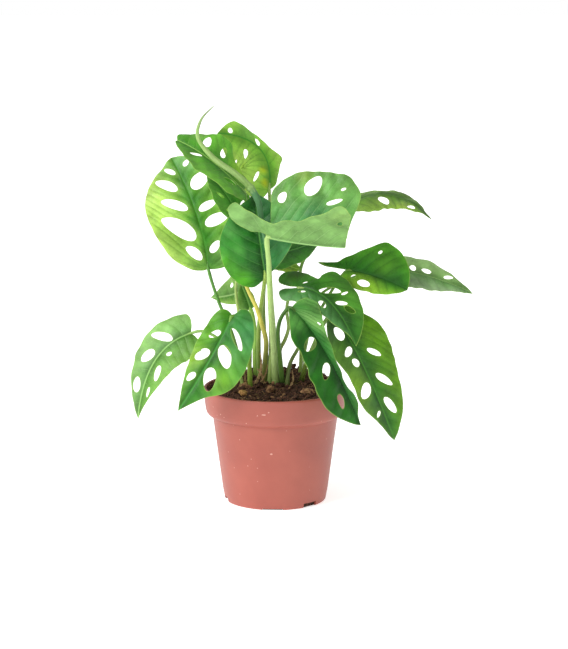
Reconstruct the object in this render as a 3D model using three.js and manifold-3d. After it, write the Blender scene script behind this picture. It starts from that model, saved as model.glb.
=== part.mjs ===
// A monstera with pierced leaves in a round plastic nursery pot.
// Millimetres, +Z up, the front faces -Y. The origin is on the table, at the middle of the pot's base.
import * as THREE from 'three';
import Module from 'manifold-3d';

const wasm = await Module();
wasm.setup();

// Pot
const POT_HEIGHT = 96;
const FLOOR = 2;
const POT_SEGMENTS = 48;
const FOOT_DISC_RADIUS = 36;
const DRAIN_SPACING = 2 * Math.PI / 3;
const TALL_DRAIN = { width: 14, height: 4, bearing: THREE.MathUtils.degToRad(-47) };
const LOW_DRAIN = { width: 17, height: 1.2, bearing: THREE.MathUtils.degToRad(-93) };

// Soil
const GAP = 0.3;
const SOIL_RADIUS = 57.1;
const SOIL_EDGE_Z = 94.2;
const SOIL_HEAP = 8.5;
const HEAP_SHOULDER = 16;
const HEAP_FRONT_Y = -52;
const HEAP_BACK_Y = 24;
const SOIL_RINGS = 9;
const STALK_HOLE_GAP = 0.35;
const HOLE_SIDES = 7;
const STALK_FOOT_Z = 86;

// Leaves
const BLADE_HALF = 0.4;
const RIB_DEPTH = 1;
const WIDEST = 0.35;
const RIB_STEPS = 10;
const STEPS_PER_EDGE_POINT = 2;
const INNER_ROWS = [0.3, 0.62];
const INNER_STEP = 0.125;
const CLEAR_OF_EDGE = 2;
const BIG_HOLE = 7;
const STALK_SIDES = 6;
const RING_SPACING = 13;
const STALK_REACH = 0.07;
const STALK_BELOW_BLADE = 0.5;
const ROLLED_SIDES = 8;
const WAVES = 2.2;
const WAVE_START = { left: 0.1, right: 0.45 };

const potColour = new THREE.MeshStandardMaterial({ color: 0xc4735f, roughness: 0.45, metalness: 0 });
const soilColour = new THREE.MeshStandardMaterial({ color: 0x3a2a20, roughness: 1, metalness: 0 });
const leafColour = new THREE.MeshStandardMaterial({ color: 0x4c8a3a, roughness: 0.4, metalness: 0 });
const youngColour = new THREE.MeshStandardMaterial({ color: 0xa9c48a, roughness: 0.5, metalness: 0 });

// A blade half from the stalk round its lobe to the tip: part of the rib's length, part of the half's width
const BLADE_EDGE = [
  [0, 0], [-0.07, 0.12], [-0.13, 0.36], [-0.1, 0.66], [0.04, 0.9], [0.24, 1],
  [0.44, 0.95], [0.64, 0.74], [0.8, 0.45], [0.91, 0.19], [1, 0],
];

// The front top leaf is folded along its rib: its near half is drawn out to a long lobe and waved, its far
// half stands up behind. Two other halves run out in corners.
const FAR_HALF_EDGE = [
  [0, 0], [-0.04, 0.3], [-0.12, 0.58], [-0.06, 0.76], [0.05, 0.89], [0.21, 0.97], [0.56, 1.03],
  [0.97, 1.01], [1.1, 0.9], [1.16, 0.74], [1.13, 0.56], [1.06, 0.36], [1.01, 0.14], [1, 0],
];
const NEAR_HALF_EDGE = [
  [0, 0], [-0.1, 0.03], [-0.25, 0.05], [-0.4, 0.11], [-0.53, 0.25], [-0.63, 0.5], [-0.61, 0.76],
  [-0.51, 0.82], [-0.42, 0.66], [-0.3, 0.57], [-0.16, 0.48], [0, 0.43], [0.16, 0.57], [0.33, 0.7],
  [0.47, 1.02], [0.62, 1.28], [0.77, 1.08], [0.84, 0.75], [0.94, 0.25], [1, 0],
];
const CORNERED_EDGE = [
  [0, 0], [0.05, 0.3], [0.13, 0.5], [0.25, 0.76], [0.31, 1.02], [0.42, 0.64], [0.56, 0.52],
  [0.68, 0.61], [0.79, 0.76], [0.84, 0.83], [0.9, 0.62], [0.95, 0.33], [1, 0],
];
const POINTED_EDGE = [
  [0, 0], [-0.2, 0.01], [-0.38, 0.02], [-0.5, 0.09], [-0.34, 0.14], [-0.2, 0.19], [-0.11, 0.34], [0.02, 0.52],
  [0.18, 0.78], [0.34, 1.04], [0.48, 0.98], [0.67, 0.82], [0.85, 0.5], [0.95, 0.22], [1, 0],
];

// Each leaf: where its stalk meets the blade, the middle of the rib, the tip, and the widest place of
// either half. lobe draws the base lobes out and full fills the half towards the tip, left then right.
// leftEdge and rightEdge give a half the outline it has in the photograph instead.
// A hole is its place along the rib and across the half, its length, its width and its angle to the rib.
// stalk goes from the foot in the soil up to the blade.
const LEAVES = [
  {
    name: 'leaf_high_left',
    joint: [-56, 15, 193], middle: [-66, 20, 239], tip: [-88, 52, 282], left: [-108, 22, 238], right: [-29, 24, 245],
    lobe: [0.6, 0.3], full: [1.15, 1.7], wave: 0.8, thick: [1.7, 1.2],
    stalk: [[-24, 20, 86], [-36, 10, 138], [-48, 13, 167]],
    leftHoles: [[0.87, 0.16, 9, 6, 75], [0.73, 0.35, 18, 11, 80], [0.54, 0.36, 23, 11, 89],
      [0.3, 0.43, 30, 21, 84], [0.1, 0.24, 15, 12, 86]],
    rightHoles: [[0.89, 0.24, 7, 4, 82], [0.71, 0.36, 20, 12, 87], [0.5, 0.3, 17, 7, 99],
      [0.36, 0.4, 22, 10, 103], [0.16, 0.22, 11, 8, 56]],
  },
  {
    name: 'leaf_top_left',
    joint: [-26, -14, 263], middle: [-53, -26, 290], tip: [-80, -12, 304], left: [-53, -47, 276], right: [-40, -5, 304],
    lobe: [0.4, 0.3], full: [1, 2.2], wave: 0.8, thick: [2.4, 1.1],
    stalk: [[-9, 1, 86], [-8.8, -4, 115], [-7.8, -10, 137], [-11.5, -11, 152], [-15.4, -9, 164], [-25, -2, 186],
      [-25, 2, 224], [-24, -3, 249]],
    leftHoles: [[0.64, 0.24, 10, 4, 38], [0.18, 0.21, 12, 5, 23]],
    rightHoles: [[0.62, 0.48, 12, 9, 99], [0.35, 0.51, 11, 6, 104]],
    leftEdge: [[0, 0], [-0.05, 0.08], [-0.04, 0.45], [0.01, 0.59], [0.15, 0.85], [0.24, 0.84], [0.34, 0.87],
      [0.44, 0.97], [0.51, 1], [0.59, 0.88], [0.7, 0.67], [0.82, 0.47], [0.96, 0.17], [1, 0]],
    rightEdge: [[0, 0], [-0.03, 0.2], [0, 0.36], [0.08, 0.42], [0.16, 0.53], [0.22, 0.73], [0.25, 0.9],
      [0.32, 0.99], [0.41, 1], [0.54, 0.93], [0.71, 0.71], [0.84, 0.53], [0.98, 0.33], [1.04, 0.17], [1, 0]],
  },
  {
    name: 'leaf_behind_left',
    joint: [-24, 14, 228], middle: [-40, 18, 254], tip: [-58, 22, 277], left: [-49, 6, 250], right: [-25, 30, 257],
    lobe: [1, 1], full: [1, 1], wave: 0.6, thick: [1.5, 1],
    stalk: [[-18, 8, 86], [-24, 8, 125], [-31, 12, 158], [-33, 15, 179], [-28, 10, 200]],
    leftHoles: [[0.22, 0.45, 8, 5, 75], [0.5, 0.42, 7, 4, 60]],
    rightHoles: [[0.25, 0.45, 9, 5, 75], [0.52, 0.42, 7, 4, 60]],
  },
  {
    name: 'leaf_top_back',
    joint: [-5, 25, 258], middle: [-13, 38, 291], tip: [-48, 22, 306], left: [-34, 18, 275], right: [3, 48, 286],
    lobe: [1, 0.5], full: [1.3, 1], wave: 0.8, thick: [1.7, 1.2], rightEdge: CORNERED_EDGE,
    stalk: [[-5, 27, 86], [-10, 30, 164], [-4, 34, 219]],
    leftHoles: [[0.67, 0.39, 9, 6, 123], [0.11, 0.39, 12, 3, 158], [0.82, 0.69, 4, 2, 69]],
    rightHoles: [[0.88, 0.24, 5, 3.4, 100], [0.57, 0.2, 7, 3, 20]],
    leftEdge: [[0, 0], [-0.07, 0.11], [-0.13, 0.3], [-0.11, 0.51], [-0.02, 0.8], [0.14, 0.96], [0.5, 0.96],
      [0.91, 0.83], [0.95, 0.61], [0.98, 0.39], [1, 0]],
  },
  {
    name: 'leaf_front_top',
    joint: [-6, -40, 229], middle: [24, -50, 225], tip: [57, -52, 222], left: [27, -24, 280], right: [26, -80, 254],
    wave: 0, thick: [3.2, 1.6], leftEdge: FAR_HALF_EDGE, rightEdge: NEAR_HALF_EDGE,
    stalk: [[0.5, -3, 86], [-1.8, -15, 142], [-3.8, -27, 174], [-5.2, -36, 206]],
    leftHoles: [[0.49, 0.81, 21, 14, 51], [0.05, 0.57, 10, 9, 53], [0.83, 0.61, 15, 4, 19], [0.95, 0.8, 5, 2.4, 20]],
    rightHoles: [[0.74, 0.74, 5, 3.4, 84]],
  },
  {
    name: 'leaf_centre',
    joint: [-8, -18, 193], middle: [-13, -20, 227], tip: [-16, -9, 261], left: [-46, -20, 219], right: [17, -28, 226],
    lobe: [1.2, 0.1], full: [1, 1], wave: 0.8, thick: [2.2, 1.5],
    stalk: [[-13, 4, 86], [-14, 0, 140], [-12, -4, 163], [-8.8, -13, 187]],
    leftHoles: [], rightHoles: [],
    rightEdge: [[0, 0], [0.03, 0.2], [0.09, 0.42], [0.17, 0.63], [0.27, 0.84], [0.38, 0.97], [0.48, 0.98],
      [0.64, 0.8], [0.8, 0.5], [0.92, 0.2], [1, 0]],
  },
  {
    name: 'leaf_right_high',
    joint: [64, 35, 246], middle: [99, 36, 252], tip: [131, 26, 233], left: [92, 60, 253], right: [90, 12, 243],
    lobe: [0.4, 0.4], full: [1, 1], wave: 0.6, thick: [1.8, 1.1],
    stalk: [[21, 23, 86], [22, 26, 139], [23, 32, 196], [50, 38, 224]],
    leftHoles: [],
    rightHoles: [[0.38, 0.46, 16, 11, 65], [0.76, 0.28, 9, 4, 128]],
  },
  {
    name: 'leaf_right_middle',
    joint: [60, -8, 196], middle: [85, -14, 191], tip: [109, -18, 181], left: [92, 4, 216], right: [75, -24, 180],
    lobe: [1, 0.6], full: [1, 1.4], wave: 0.6, thick: [1.9, 1.1], leftEdge: POINTED_EDGE,
    stalk: [[9.5, -11, 86], [11.6, -8, 115], [19, -3, 129], [31.5, 0, 151]],
    leftHoles: [[0.34, 0.7, 4, 2.4, 75]],
    rightHoles: [[0.1, 0.34, 5, 3.2, 150], [0.28, 0.58, 11, 7, 175]],
  },
  {
    name: 'leaf_far_right',
    joint: [98, 16, 192], middle: [131, 20, 185], tip: [166, 20, 171], left: [115, 36, 200], right: [116, -10, 181],
    lobe: [1, 1], full: [1.1, 1.5], wave: 0.6, thick: [1.5, 1],
    stalk: [[17, 31, 86], [26, 27, 126], [34, 30, 164], [65, 30, 183]],
    leftHoles: [[0.16, 0.38, 9, 5, 71], [0.29, 0.26, 8, 5, 49], [0.46, 0.28, 9, 6, 20],
      [0.72, 0.3, 9, 3.5, 24]],
    rightHoles: [],
  },
  {
    name: 'leaf_centre_right',
    joint: [20, -30, 185], middle: [45, -42, 175], tip: [66, -54, 141], left: [63, -25, 187], right: [33, -50, 165],
    lobe: [2.6, 1.5], full: [1.3, 1], wave: 0.8, thick: [1.9, 1.2],
    stalk: [[4.5, 10, 86], [3.2, -6, 118], [4.2, -10, 130], [8, -12.5, 138], [11, -15, 149], [9.4, -19, 164],
      [12, -25, 177]],
    leftHoles: [[0.33, 0.31, 16, 8, 54], [0.43, 0.58, 7, 2.2, 101], [0.54, 0.27, 9, 4, 73],
      [0.63, 0.37, 8, 6, 58], [0.01, 0.22, 4, 2, 45]],
    rightHoles: [[0.4, 0.35, 10, 5, 168], [0.03, 0.22, 9, 1.8, 172]],
    leftEdge: [[0, 0], [-0.19, 0.07], [-0.37, 0.2], [-0.47, 0.46], [-0.45, 0.66], [-0.31, 0.72], [-0.12, 0.66],
      [0.09, 0.47], [0.09, 0.67], [0.12, 0.88], [0.18, 0.99], [0.29, 1], [0.44, 0.92], [0.58, 0.81],
      [0.74, 0.62], [0.89, 0.3], [1, 0]],
    rightEdge: [[0, 0], [-0.11, 0.04], [-0.23, 0.04], [-0.32, 0.25], [-0.32, 0.55], [-0.26, 0.7], [-0.15, 0.73],
      [-0.04, 0.85], [0.13, 1], [0.37, 0.79], [0.52, 0.65], [0.67, 0.53], [0.79, 0.32], [0.88, 0.12], [1, 0]],
  },
  {
    name: 'leaf_lower_right',
    joint: [48, -25, 163], middle: [73, -45, 121], tip: [98, -48, 61], left: [100, -30, 128], right: [53, -50, 123],
    lobe: [0.8, 0.6], full: [1.3, 1.1], wave: 0.8, thick: [2.3, 1.4],
    stalk: [[19, 8, 86], [25.6, -8, 117], [31.4, -12, 132], [39.5, -18, 152]],
    leftHoles: [[0.35, 0.44, 11, 7, 67], [0.57, 0.37, 14, 8, 58], [0.76, 0.24, 13, 9, 15]],
    rightHoles: [[0.16, 0.3, 15, 8, 169], [0.32, 0.34, 9, 7, 82], [0.42, 0.27, 9, 5, 158],
      [0.62, 0.4, 12, 10, 72], [0.8, 0.26, 5, 3, 69]],
    leftEdge: [[0, 0], [-0.07, 0.19], [-0.1, 0.4], [-0.09, 0.62], [-0.03, 0.76], [0.01, 0.89], [0.07, 0.97],
      [0.16, 1], [0.26, 1], [0.37, 0.92], [0.52, 0.8], [0.65, 0.7], [0.74, 0.6], [0.83, 0.43], [0.93, 0.2],
      [1, 0]],
    rightEdge: [[0, 0], [-0.04, 0.09], [0, 0.43], [0.05, 0.69], [0.13, 0.89], [0.22, 1], [0.32, 1],
      [0.42, 0.87], [0.53, 0.83], [0.62, 0.86], [0.7, 0.79], [0.77, 0.62], [0.86, 0.37], [0.95, 0.17], [1, 0]],
  },
  {
    name: 'leaf_lower_middle',
    joint: [13, -54, 173], middle: [41, -62, 138], tip: [70, -66, 78], left: [66, -54, 130], right: [15, -83, 142],
    lobe: [0.4, 0.5], full: [1, 1.7], wave: 0.8, thick: [2.4, 1.2],
    stalk: [[7, 2, 86], [3.6, -19, 126], [2.2, -31, 149], [5, -39, 162]],
    leftHoles: [[0.13, 0.43, 5, 3.4, 5]],
    rightHoles: [[0.38, 0.37, 17, 10, 77], [0.61, 0.38, 15, 8, 56], [0.82, 0.39, 10, 7, 24]],
    leftEdge: [[0, 0], [-0.21, 0.45], [-0.37, 0.86], [-0.35, 1], [-0.29, 1], [0.01, 0.65], [0.17, 0.5],
      [0.32, 0.38], [0.52, 0.23], [0.61, 0.21], [0.69, 0.1], [0.74, 0.13], [0.76, 0.27], [0.82, 0.26],
      [0.93, 0.05], [1, 0]],
    rightEdge: [[0, 0], [0, 0.15], [0.11, 0.46], [0.2, 0.72], [0.29, 0.84], [0.36, 0.81], [0.46, 0.88],
      [0.56, 0.92], [0.68, 1], [0.78, 1], [0.86, 0.83], [0.92, 0.56], [0.97, 0.27], [1, 0]],
  },
  {
    name: 'leaf_lower_left',
    joint: [-35, -42, 164], middle: [-54, -58, 129], tip: [-79, -62, 89], left: [-21, -61, 128], right: [-64, -49, 143],
    lobe: [0.5, 0.4], full: [1.25, 1.1], wave: 0.8, thick: [2.2, 1.5],
    stalk: [[-21, -6, 86], [-22, -24, 125], [-26, -34, 144]],
    leftHoles: [[0.2, 0.4, 21, 6, 46], [0.39, 0.33, 20, 10, 41], [0.63, 0.27, 19, 10, 24]],
    rightHoles: [[0.22, 0.38, 10, 7, 41], [0.45, 0.45, 13, 9, 33], [0.68, 0.36, 9, 6, 21]],
    leftEdge: [[0, 0], [-0.04, 0.07], [-0.09, 0.17], [-0.1, 0.35], [-0.04, 0.56], [0.06, 0.73], [0.16, 0.85],
      [0.27, 0.93], [0.42, 1], [0.57, 0.96], [0.68, 0.78], [0.78, 0.44], [0.9, 0.18], [1, 0]],
  },
  {
    name: 'leaf_far_left',
    joint: [-70, -15, 144], middle: [-100, -20, 121], tip: [-114, -22, 73], left: [-75, -32, 123], right: [-104, -6, 144],
    lobe: [0.2, 0.2], full: [1.1, 1.2], wave: 0.6, thick: [1.5, 1],
    stalk: [[-23, -13, 86], [-39, -20, 133], [-59, -17, 146]],
    leftHoles: [[0.35, 0.3, 6, 4, 178], [0.6, 0.38, 15, 6, 11], [0.79, 0.26, 8, 3, 6]],
    rightHoles: [[0.28, 0.46, 21, 7, 49], [0.5, 0.38, 15, 8, 25], [0.76, 0.31, 11, 7, 170]],
  },
  {
    name: 'leaf_small_left',
    joint: [-27, 42, 170], middle: [-40, 44, 165], tip: [-55, 46, 163], left: [-33, 38, 159], right: [-34, 54, 184],
    lobe: [0.6, 0.6], full: [1, 1], wave: 0.5, thick: [1.2, 0.9],
    stalk: [[-22, 36, 86], [-21, 38, 128], [-22, 42, 153]],
    leftHoles: [], rightHoles: [[0.42, 0.42, 5, 3, 80]],
  },
  {
    name: 'leaf_small_upright',
    joint: [-21, 26, 157], middle: [-24, 28, 166], tip: [-29, 30, 178], left: [-32, 30, 160], right: [-18, 26, 168],
    lobe: [0.5, 0.5], full: [1, 1], wave: 0.3, thick: [2.3, 1.8],
    stalk: [[-16, 14, 86], [-17.2, 10, 119], [-17, 13, 136], [-18.6, 20, 148]],
    leftHoles: [], rightHoles: [],
  },
  {
    name: 'leaf_inner_right',
    joint: [-9, 6, 204], middle: [16, 6, 211], tip: [39, 8, 219], left: [11, 24, 222], right: [14, -8, 199],
    lobe: [0.8, 0.8], full: [1, 1], wave: 0.6, thick: [1.5, 1],
    stalk: [[4, 14, 86], [-3, 12, 150], [-6, 8, 181]],
    leftHoles: [[0.36, 0.46, 9, 5, 70]], rightHoles: [],
  },
  {
    name: 'leaf_small_back',
    joint: [-3, 32, 199], middle: [9, 36, 193], tip: [22, 38, 188], left: [11, 44, 197], right: [6, 28, 188],
    lobe: [0.5, 0.5], full: [1, 1], wave: 0.3, thick: [1.2, 0.9],
    stalk: [[4, 34, 86], [-3, 34, 137], [-5, 36, 176]],
    leftHoles: [], rightHoles: [],
  },
];

// The youngest leaf, still rolled up, on its stalk: place and radius
const ROLLED_LEAF = [
  { at: [-5.6, -2, 86], radius: 1.8 }, { at: [-3.4, -8, 137], radius: 1.8 }, { at: [-4.6, -22.5, 176], radius: 1.8 },
  { at: [-5.6, -32, 212], radius: 1.8 }, { at: [-10.5, -33, 238], radius: 2 }, { at: [-14, -30, 257], radius: 2.6 },
  { at: [-20, -27, 267], radius: 3 }, { at: [-30, -34, 278], radius: 2.5 }, { at: [-51, -43, 295], radius: 2.1 },
  { at: [-62, -46, 311], radius: 1.6 }, { at: [-59, -48, 325], radius: 1 }, { at: [-49, -50, 336], radius: 0.4 },
];

const vector = ([x, y, z]) => new THREE.Vector3(x, y, z);
const smooth = (from, to, x) => THREE.MathUtils.smoothstep(x, from, to);

// Closed bodies
function toSolid(points, triangles) {
  const mesh = new wasm.Mesh({
    numProp: 3,
    vertProperties: Float32Array.from(points.flatMap((p) => [p.x, p.y, p.z])),
    triVerts: Uint32Array.from(triangles.flat()),
  });
  return new wasm.Manifold(mesh);
}

function toNode(name, solid, material) {
  const { vertProperties, triVerts } = solid.getMesh();
  const geometry = new THREE.BufferGeometry();
  geometry.setAttribute('position', new THREE.BufferAttribute(new Float32Array(vertProperties), 3));
  geometry.setIndex(new THREE.BufferAttribute(new Uint32Array(triVerts), 1));
  const mesh = new THREE.Mesh(geometry, material);
  mesh.name = name;
  return mesh;
}

// Rows of points round an axis or a path, closed at both ends
function lofted(rows) {
  const points = rows.flat();
  const starts = [];
  let count = 0;
  for (const row of rows) {
    starts.push(count);
    count += row.length;
  }
  const triangles = [];
  for (let i = 0; i + 1 < rows.length; i += 1) {
    const [low, high] = [starts[i], starts[i + 1]];
    const [lowCount, highCount] = [rows[i].length, rows[i + 1].length];
    const sides = Math.max(lowCount, highCount);
    for (let j = 0; j < sides; j += 1) {
      const next = (j + 1) % sides;
      if (lowCount > 1) triangles.push([low + j, low + next, high + (highCount > 1 ? next : 0)]);
      if (highCount > 1) triangles.push([low + (lowCount > 1 ? j : 0), high + next, high + j]);
    }
  }
  return toSolid(points, triangles);
}

function turned(profile) {
  return lofted(profile.map(([radius, z]) => {
    if (radius === 0) return [new THREE.Vector3(0, 0, z)];
    return Array.from({ length: POT_SEGMENTS }, (_, j) => {
      const angle = 2 * Math.PI * j / POT_SEGMENTS;
      return new THREE.Vector3(radius * Math.cos(angle), radius * Math.sin(angle), z);
    });
  }));
}

const stalkCurve = (places) => new THREE.CatmullRomCurve3(places, false, 'centripetal');

function tube(places, radiusAt, sides) {
  const curve = stalkCurve(places);
  const stops = [0];
  for (let i = 0; i + 1 < places.length; i += 1) {
    const rings = Math.max(1, Math.round(places[i].distanceTo(places[i + 1]) / RING_SPACING));
    for (let k = 1; k <= rings; k += 1) stops.push((i + k / rings) / (places.length - 1));
  }
  const normal = new THREE.Vector3(1, 0, 0);
  const rows = stops.map((u) => {
    const centre = curve.getPoint(u);
    const tangent = curve.getTangent(u);
    normal.addScaledVector(tangent, -normal.dot(tangent)).normalize();
    const binormal = tangent.cross(normal);
    return Array.from({ length: sides }, (_, j) => {
      const angle = 2 * Math.PI * j / sides;
      return centre.clone()
        .addScaledVector(normal, radiusAt(u) * Math.cos(angle))
        .addScaledVector(binormal, radiusAt(u) * Math.sin(angle));
    });
  });
  return lofted([[places[0]], ...rows, [places[places.length - 1]]]);
}

// Pot: a thin moulded wall with a stepped rim band, and drain notches round its foot
function outerWall() {
  return [
    [0, 0], [41.4, 0], [42.4, 0.9], [42.9, 3], [44.2, 10], [52.4, 71.5], [53, 72.8],
    [55.6, 73.7], [57.4, 75.3], [58.4, 78], [59, 83], [59.7, 91], [60, 94.4], [59.8, 95.6], [59.2, POT_HEIGHT],
  ];
}

function innerWall(clearance) {
  const c = clearance;
  return [
    [0, FLOOR + c], [40.2 - c, FLOOR + c], [41.4 - c, 3.6], [42.8 - c, 10], [51 - c, 71.6],
    [51.8 - c, 74.2 + c], [54.8 - c, 75.2 + c], [56.2 - c, 77 + c], [SOIL_RADIUS + GAP - c, 91],
  ];
}

function drain({ width, height, bearing }, turnIndex) {
  const box = new THREE.BoxGeometry(FOOT_DISC_RADIUS, width, 2 * height);
  const corners = box.getAttribute('position');
  const places = new Map();
  const points = [];
  const turn = bearing + turnIndex * DRAIN_SPACING;
  const index = Array.from(box.index.array, (i) => {
    const p = new THREE.Vector3().fromBufferAttribute(corners, i);
    const key = p.toArray().join();
    if (!places.has(key)) {
      places.set(key, points.length);
      points.push(p.setX(p.x + 1.5 * FOOT_DISC_RADIUS).applyAxisAngle(new THREE.Vector3(0, 0, 1), turn));
    }
    return places.get(key);
  });
  const triangles = [];
  for (let i = 0; i < index.length; i += 3) triangles.push(index.slice(i, i + 3));
  return toSolid(points, triangles);
}

function makePot() {
  const lip = [[58.2, POT_HEIGHT], [57.6, 95.4]];
  let pot = turned([...outerWall(), ...lip, ...innerWall(0).reverse()]);
  for (const size of [TALL_DRAIN, LOW_DRAIN]) {
    for (let k = 0; k < 3; k += 1) pot = pot.subtract(drain(size, k));
  }
  return pot;
}

// Soil: heaped behind the stalks, with a coarse lumpy top
function soilHeight(x, y) {
  const fromWall = SOIL_RADIUS - Math.hypot(x, y);
  const heap = SOIL_HEAP * smooth(0, HEAP_SHOULDER, fromWall) * smooth(HEAP_FRONT_Y, HEAP_BACK_Y, y);
  const lumps = 0.8 * Math.sin(0.42 * x + 1.1) * Math.sin(0.38 * y + 0.4)
    + 0.6 * Math.sin(0.83 * x + 0.5 * y) + 0.5 * Math.sin(0.61 * x - 0.9 * y + 2);
  return SOIL_EDGE_Z + heap + lumps * smooth(0, 6, fromWall);
}

function makeSoil(stalkHoles) {
  const wall = innerWall(GAP);
  const rows = wall.map(([radius, z]) => {
    if (radius === 0) return [new THREE.Vector3(0, 0, z)];
    return ringAt(radius, () => z);
  });
  for (let i = SOIL_RINGS; i > 0; i -= 1) rows.push(ringAt(SOIL_RADIUS * i / SOIL_RINGS, soilHeight));
  rows.push([new THREE.Vector3(0, 0, soilHeight(0, 0))]);
  let soil = lofted(rows);
  for (const hole of stalkHoles) soil = soil.subtract(hole);
  return soil;
}

function ringAt(radius, heightAt) {
  return Array.from({ length: POT_SEGMENTS }, (_, j) => {
    const angle = 2 * Math.PI * j / POT_SEGMENTS;
    const x = radius * Math.cos(angle);
    const y = radius * Math.sin(angle);
    return new THREE.Vector3(x, y, heightAt(x, y));
  });
}

// The blade's middle surface: the rib is a curve through joint, middle and tip, and the two halves
// leave it sideways, turning with it. The sign of across is minus on the left half.
function bladeShape(leaf) {
  const [joint, middle, tip] = [leaf.joint, leaf.middle, leaf.tip].map(vector);
  const control = middle.clone().multiplyScalar(2).sub(joint.clone().add(tip).multiplyScalar(0.5));
  const rib = new THREE.QuadraticBezierCurve3(joint, control, tip);
  const widest = rib.getPoint(WIDEST);
  const heading = rib.getTangent(WIDEST);
  const sides = { left: vector(leaf.left).sub(widest), right: vector(leaf.right).sub(widest) };
  const pace = (t) => control.clone().sub(joint).multiplyScalar(2 * (1 - t))
    .add(tip.clone().sub(control).multiplyScalar(2 * t));

  function onHalf(half, along, across) {
    const t = THREE.MathUtils.clamp(along, 0, 1);
    const turn = new THREE.Quaternion().setFromUnitVectors(heading, pace(t).normalize());
    const side = sides[half].clone().applyQuaternion(turn);
    const up = half === 'left' ? pace(t).cross(side) : side.clone().cross(pace(t));
    const ripple = leaf.wave * Math.sin(2 * Math.PI * (WAVES * along + WAVE_START[half])) * across ** 2;
    return rib.getPoint(t)
      .addScaledVector(pace(t), along - t)
      .addScaledVector(side, across)
      .addScaledVector(up.normalize(), ripple);
  }

  function upOn(half, along, across) {
    const step = 0.01;
    const ahead = onHalf(half, along + step, across).sub(onHalf(half, along - step, across));
    const outward = onHalf(half, along, across + step).sub(onHalf(half, along, Math.max(0, across - step)));
    return (half === 'left' ? ahead.cross(outward) : outward.cross(ahead)).normalize();
  }

  const widths = { left: sides.left.length(), right: sides.right.length() };
  return { rib, length: rib.getLength(), widths, onHalf, upOn };
}

function edgeOf(leaf, half) {
  if (leaf[`${half}Edge`]) return leaf[`${half}Edge`];
  const k = half === 'left' ? 0 : 1;
  return BLADE_EDGE.map(([t, s]) => [t < 0 ? t * leaf.lobe[k] : t, t > WIDEST ? s ** (1 / leaf.full[k]) : s]);
}

function holeLoop([along, across, long, wide, degrees], length, width) {
  const sides = long > BIG_HOLE ? 8 : 6;
  const turn = THREE.MathUtils.degToRad(degrees);
  const centre = new THREE.Vector2(along * length, across * width);
  return Array.from({ length: sides }, (_, i) => {
    const angle = -2 * Math.PI * i / sides;
    return new THREE.Vector2(long / 2 * Math.cos(angle), wide / 2 * Math.sin(angle))
      .rotateAround(new THREE.Vector2(), turn).add(centre);
  });
}

function insideLoop(loop, p) {
  let inside = false;
  loop.forEach((a, i) => {
    const b = loop[(i + 1) % loop.length];
    if ((a.y > p.y) !== (b.y > p.y) && p.x < (b.x - a.x) * (p.y - a.y) / (b.y - a.y) + a.x) inside = !inside;
  });
  return inside;
}

function farFrom(loops, p, distance) {
  return loops.every((loop) => loop.every((a, i) => {
    const line = new THREE.Line3(new THREE.Vector3(a.x, a.y, 0), new THREE.Vector3(...loop[(i + 1) % loop.length], 0));
    const near = line.closestPointToPoint(new THREE.Vector3(p.x, p.y, 0), true, new THREE.Vector3());
    return near.distanceTo(new THREE.Vector3(p.x, p.y, 0)) > distance;
  }));
}

// Swaps the shared edge of two triangles wherever that gives rounder ones
function evened(points, faces) {
  const circleHolds = (a, b, c, d) => {
    const rows = [a, b, c].map((i) => [points[i].x - points[d].x, points[i].y - points[d].y]);
    const [p, q, r] = rows.map(([x, y]) => x * x + y * y);
    const [[ax, ay], [bx, by], [cx, cy]] = rows;
    return ax * (by * r - q * cy) - ay * (bx * r - q * cx) + p * (bx * cy - by * cx) > 1e-6;
  };
  const leftTurn = (a, b, c) => {
    const [p, q, r] = [points[a], points[b], points[c]];
    return (q.x - p.x) * (r.y - p.y) - (q.y - p.y) * (r.x - p.x) > 1e-3;
  };
  for (let pass = 0; pass < 40; pass += 1) {
    const owners = new Map();
    faces.forEach((face, f) => face.forEach((a, i) => owners.set(`${a},${face[(i + 1) % 3]}`, [f, face[(i + 2) % 3]])));
    const used = new Set();
    for (const [key, [f, c]] of owners) {
      const [a, b] = key.split(',').map(Number);
      const [g, d] = owners.get(`${b},${a}`) ?? [-1, -1];
      if (g < 0 || used.has(f) || used.has(g)) continue;
      if (!circleHolds(a, b, c, d) || !leftTurn(c, d, b) || !leftTurn(d, c, a)) continue;
      faces[f] = [c, d, b];
      faces[g] = [d, c, a];
      used.add(f).add(g);
    }
    if (used.size === 0) break;
  }
  return faces;
}

// One half of a blade laid flat, cut into triangles round its holes. Its points say where they are.
function flatHalf(leaf, shape, half) {
  const length = shape.length;
  const width = shape.widths[half];
  const margin = edgeOf(leaf, half).map(([t, s]) => new THREE.Vector2(t * length, s * width));
  const edge = new THREE.SplineCurve(margin).getPoints((margin.length - 1) * STEPS_PER_EDGE_POINT).slice(1, -1);
  const rib = Array.from({ length: RIB_STEPS + 1 }, (_, i) => new THREE.Vector2(length * (1 - i / RIB_STEPS), 0));
  const contour = [...rib, ...edge];
  const holes = leaf[`${half}Holes`].map((hole) => holeLoop(hole, length, width));
  const points = [...contour, ...holes.flat()];
  const faces = THREE.ShapeUtils.triangulateShape(contour, holes).map((face) => anticlockwise(points, face));
  for (const s of INNER_ROWS) {
    for (let t = INNER_STEP / 2; t < 1; t += INNER_STEP) {
      const p = new THREE.Vector2(t * length, s * width);
      const around = faces.findIndex((face) => insideLoop(face.map((k) => points[k]), p));
      if (around < 0 || !farFrom([contour, ...holes], p, CLEAR_OF_EDGE)) continue;
      const [a, b, c] = faces[around];
      const k = points.push(p) - 1;
      faces.splice(around, 1, [a, b, k], [b, c, k], [c, a, k]);
    }
  }
  return { points, faces: evened(points, faces), ribCount: rib.length };
}

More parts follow.
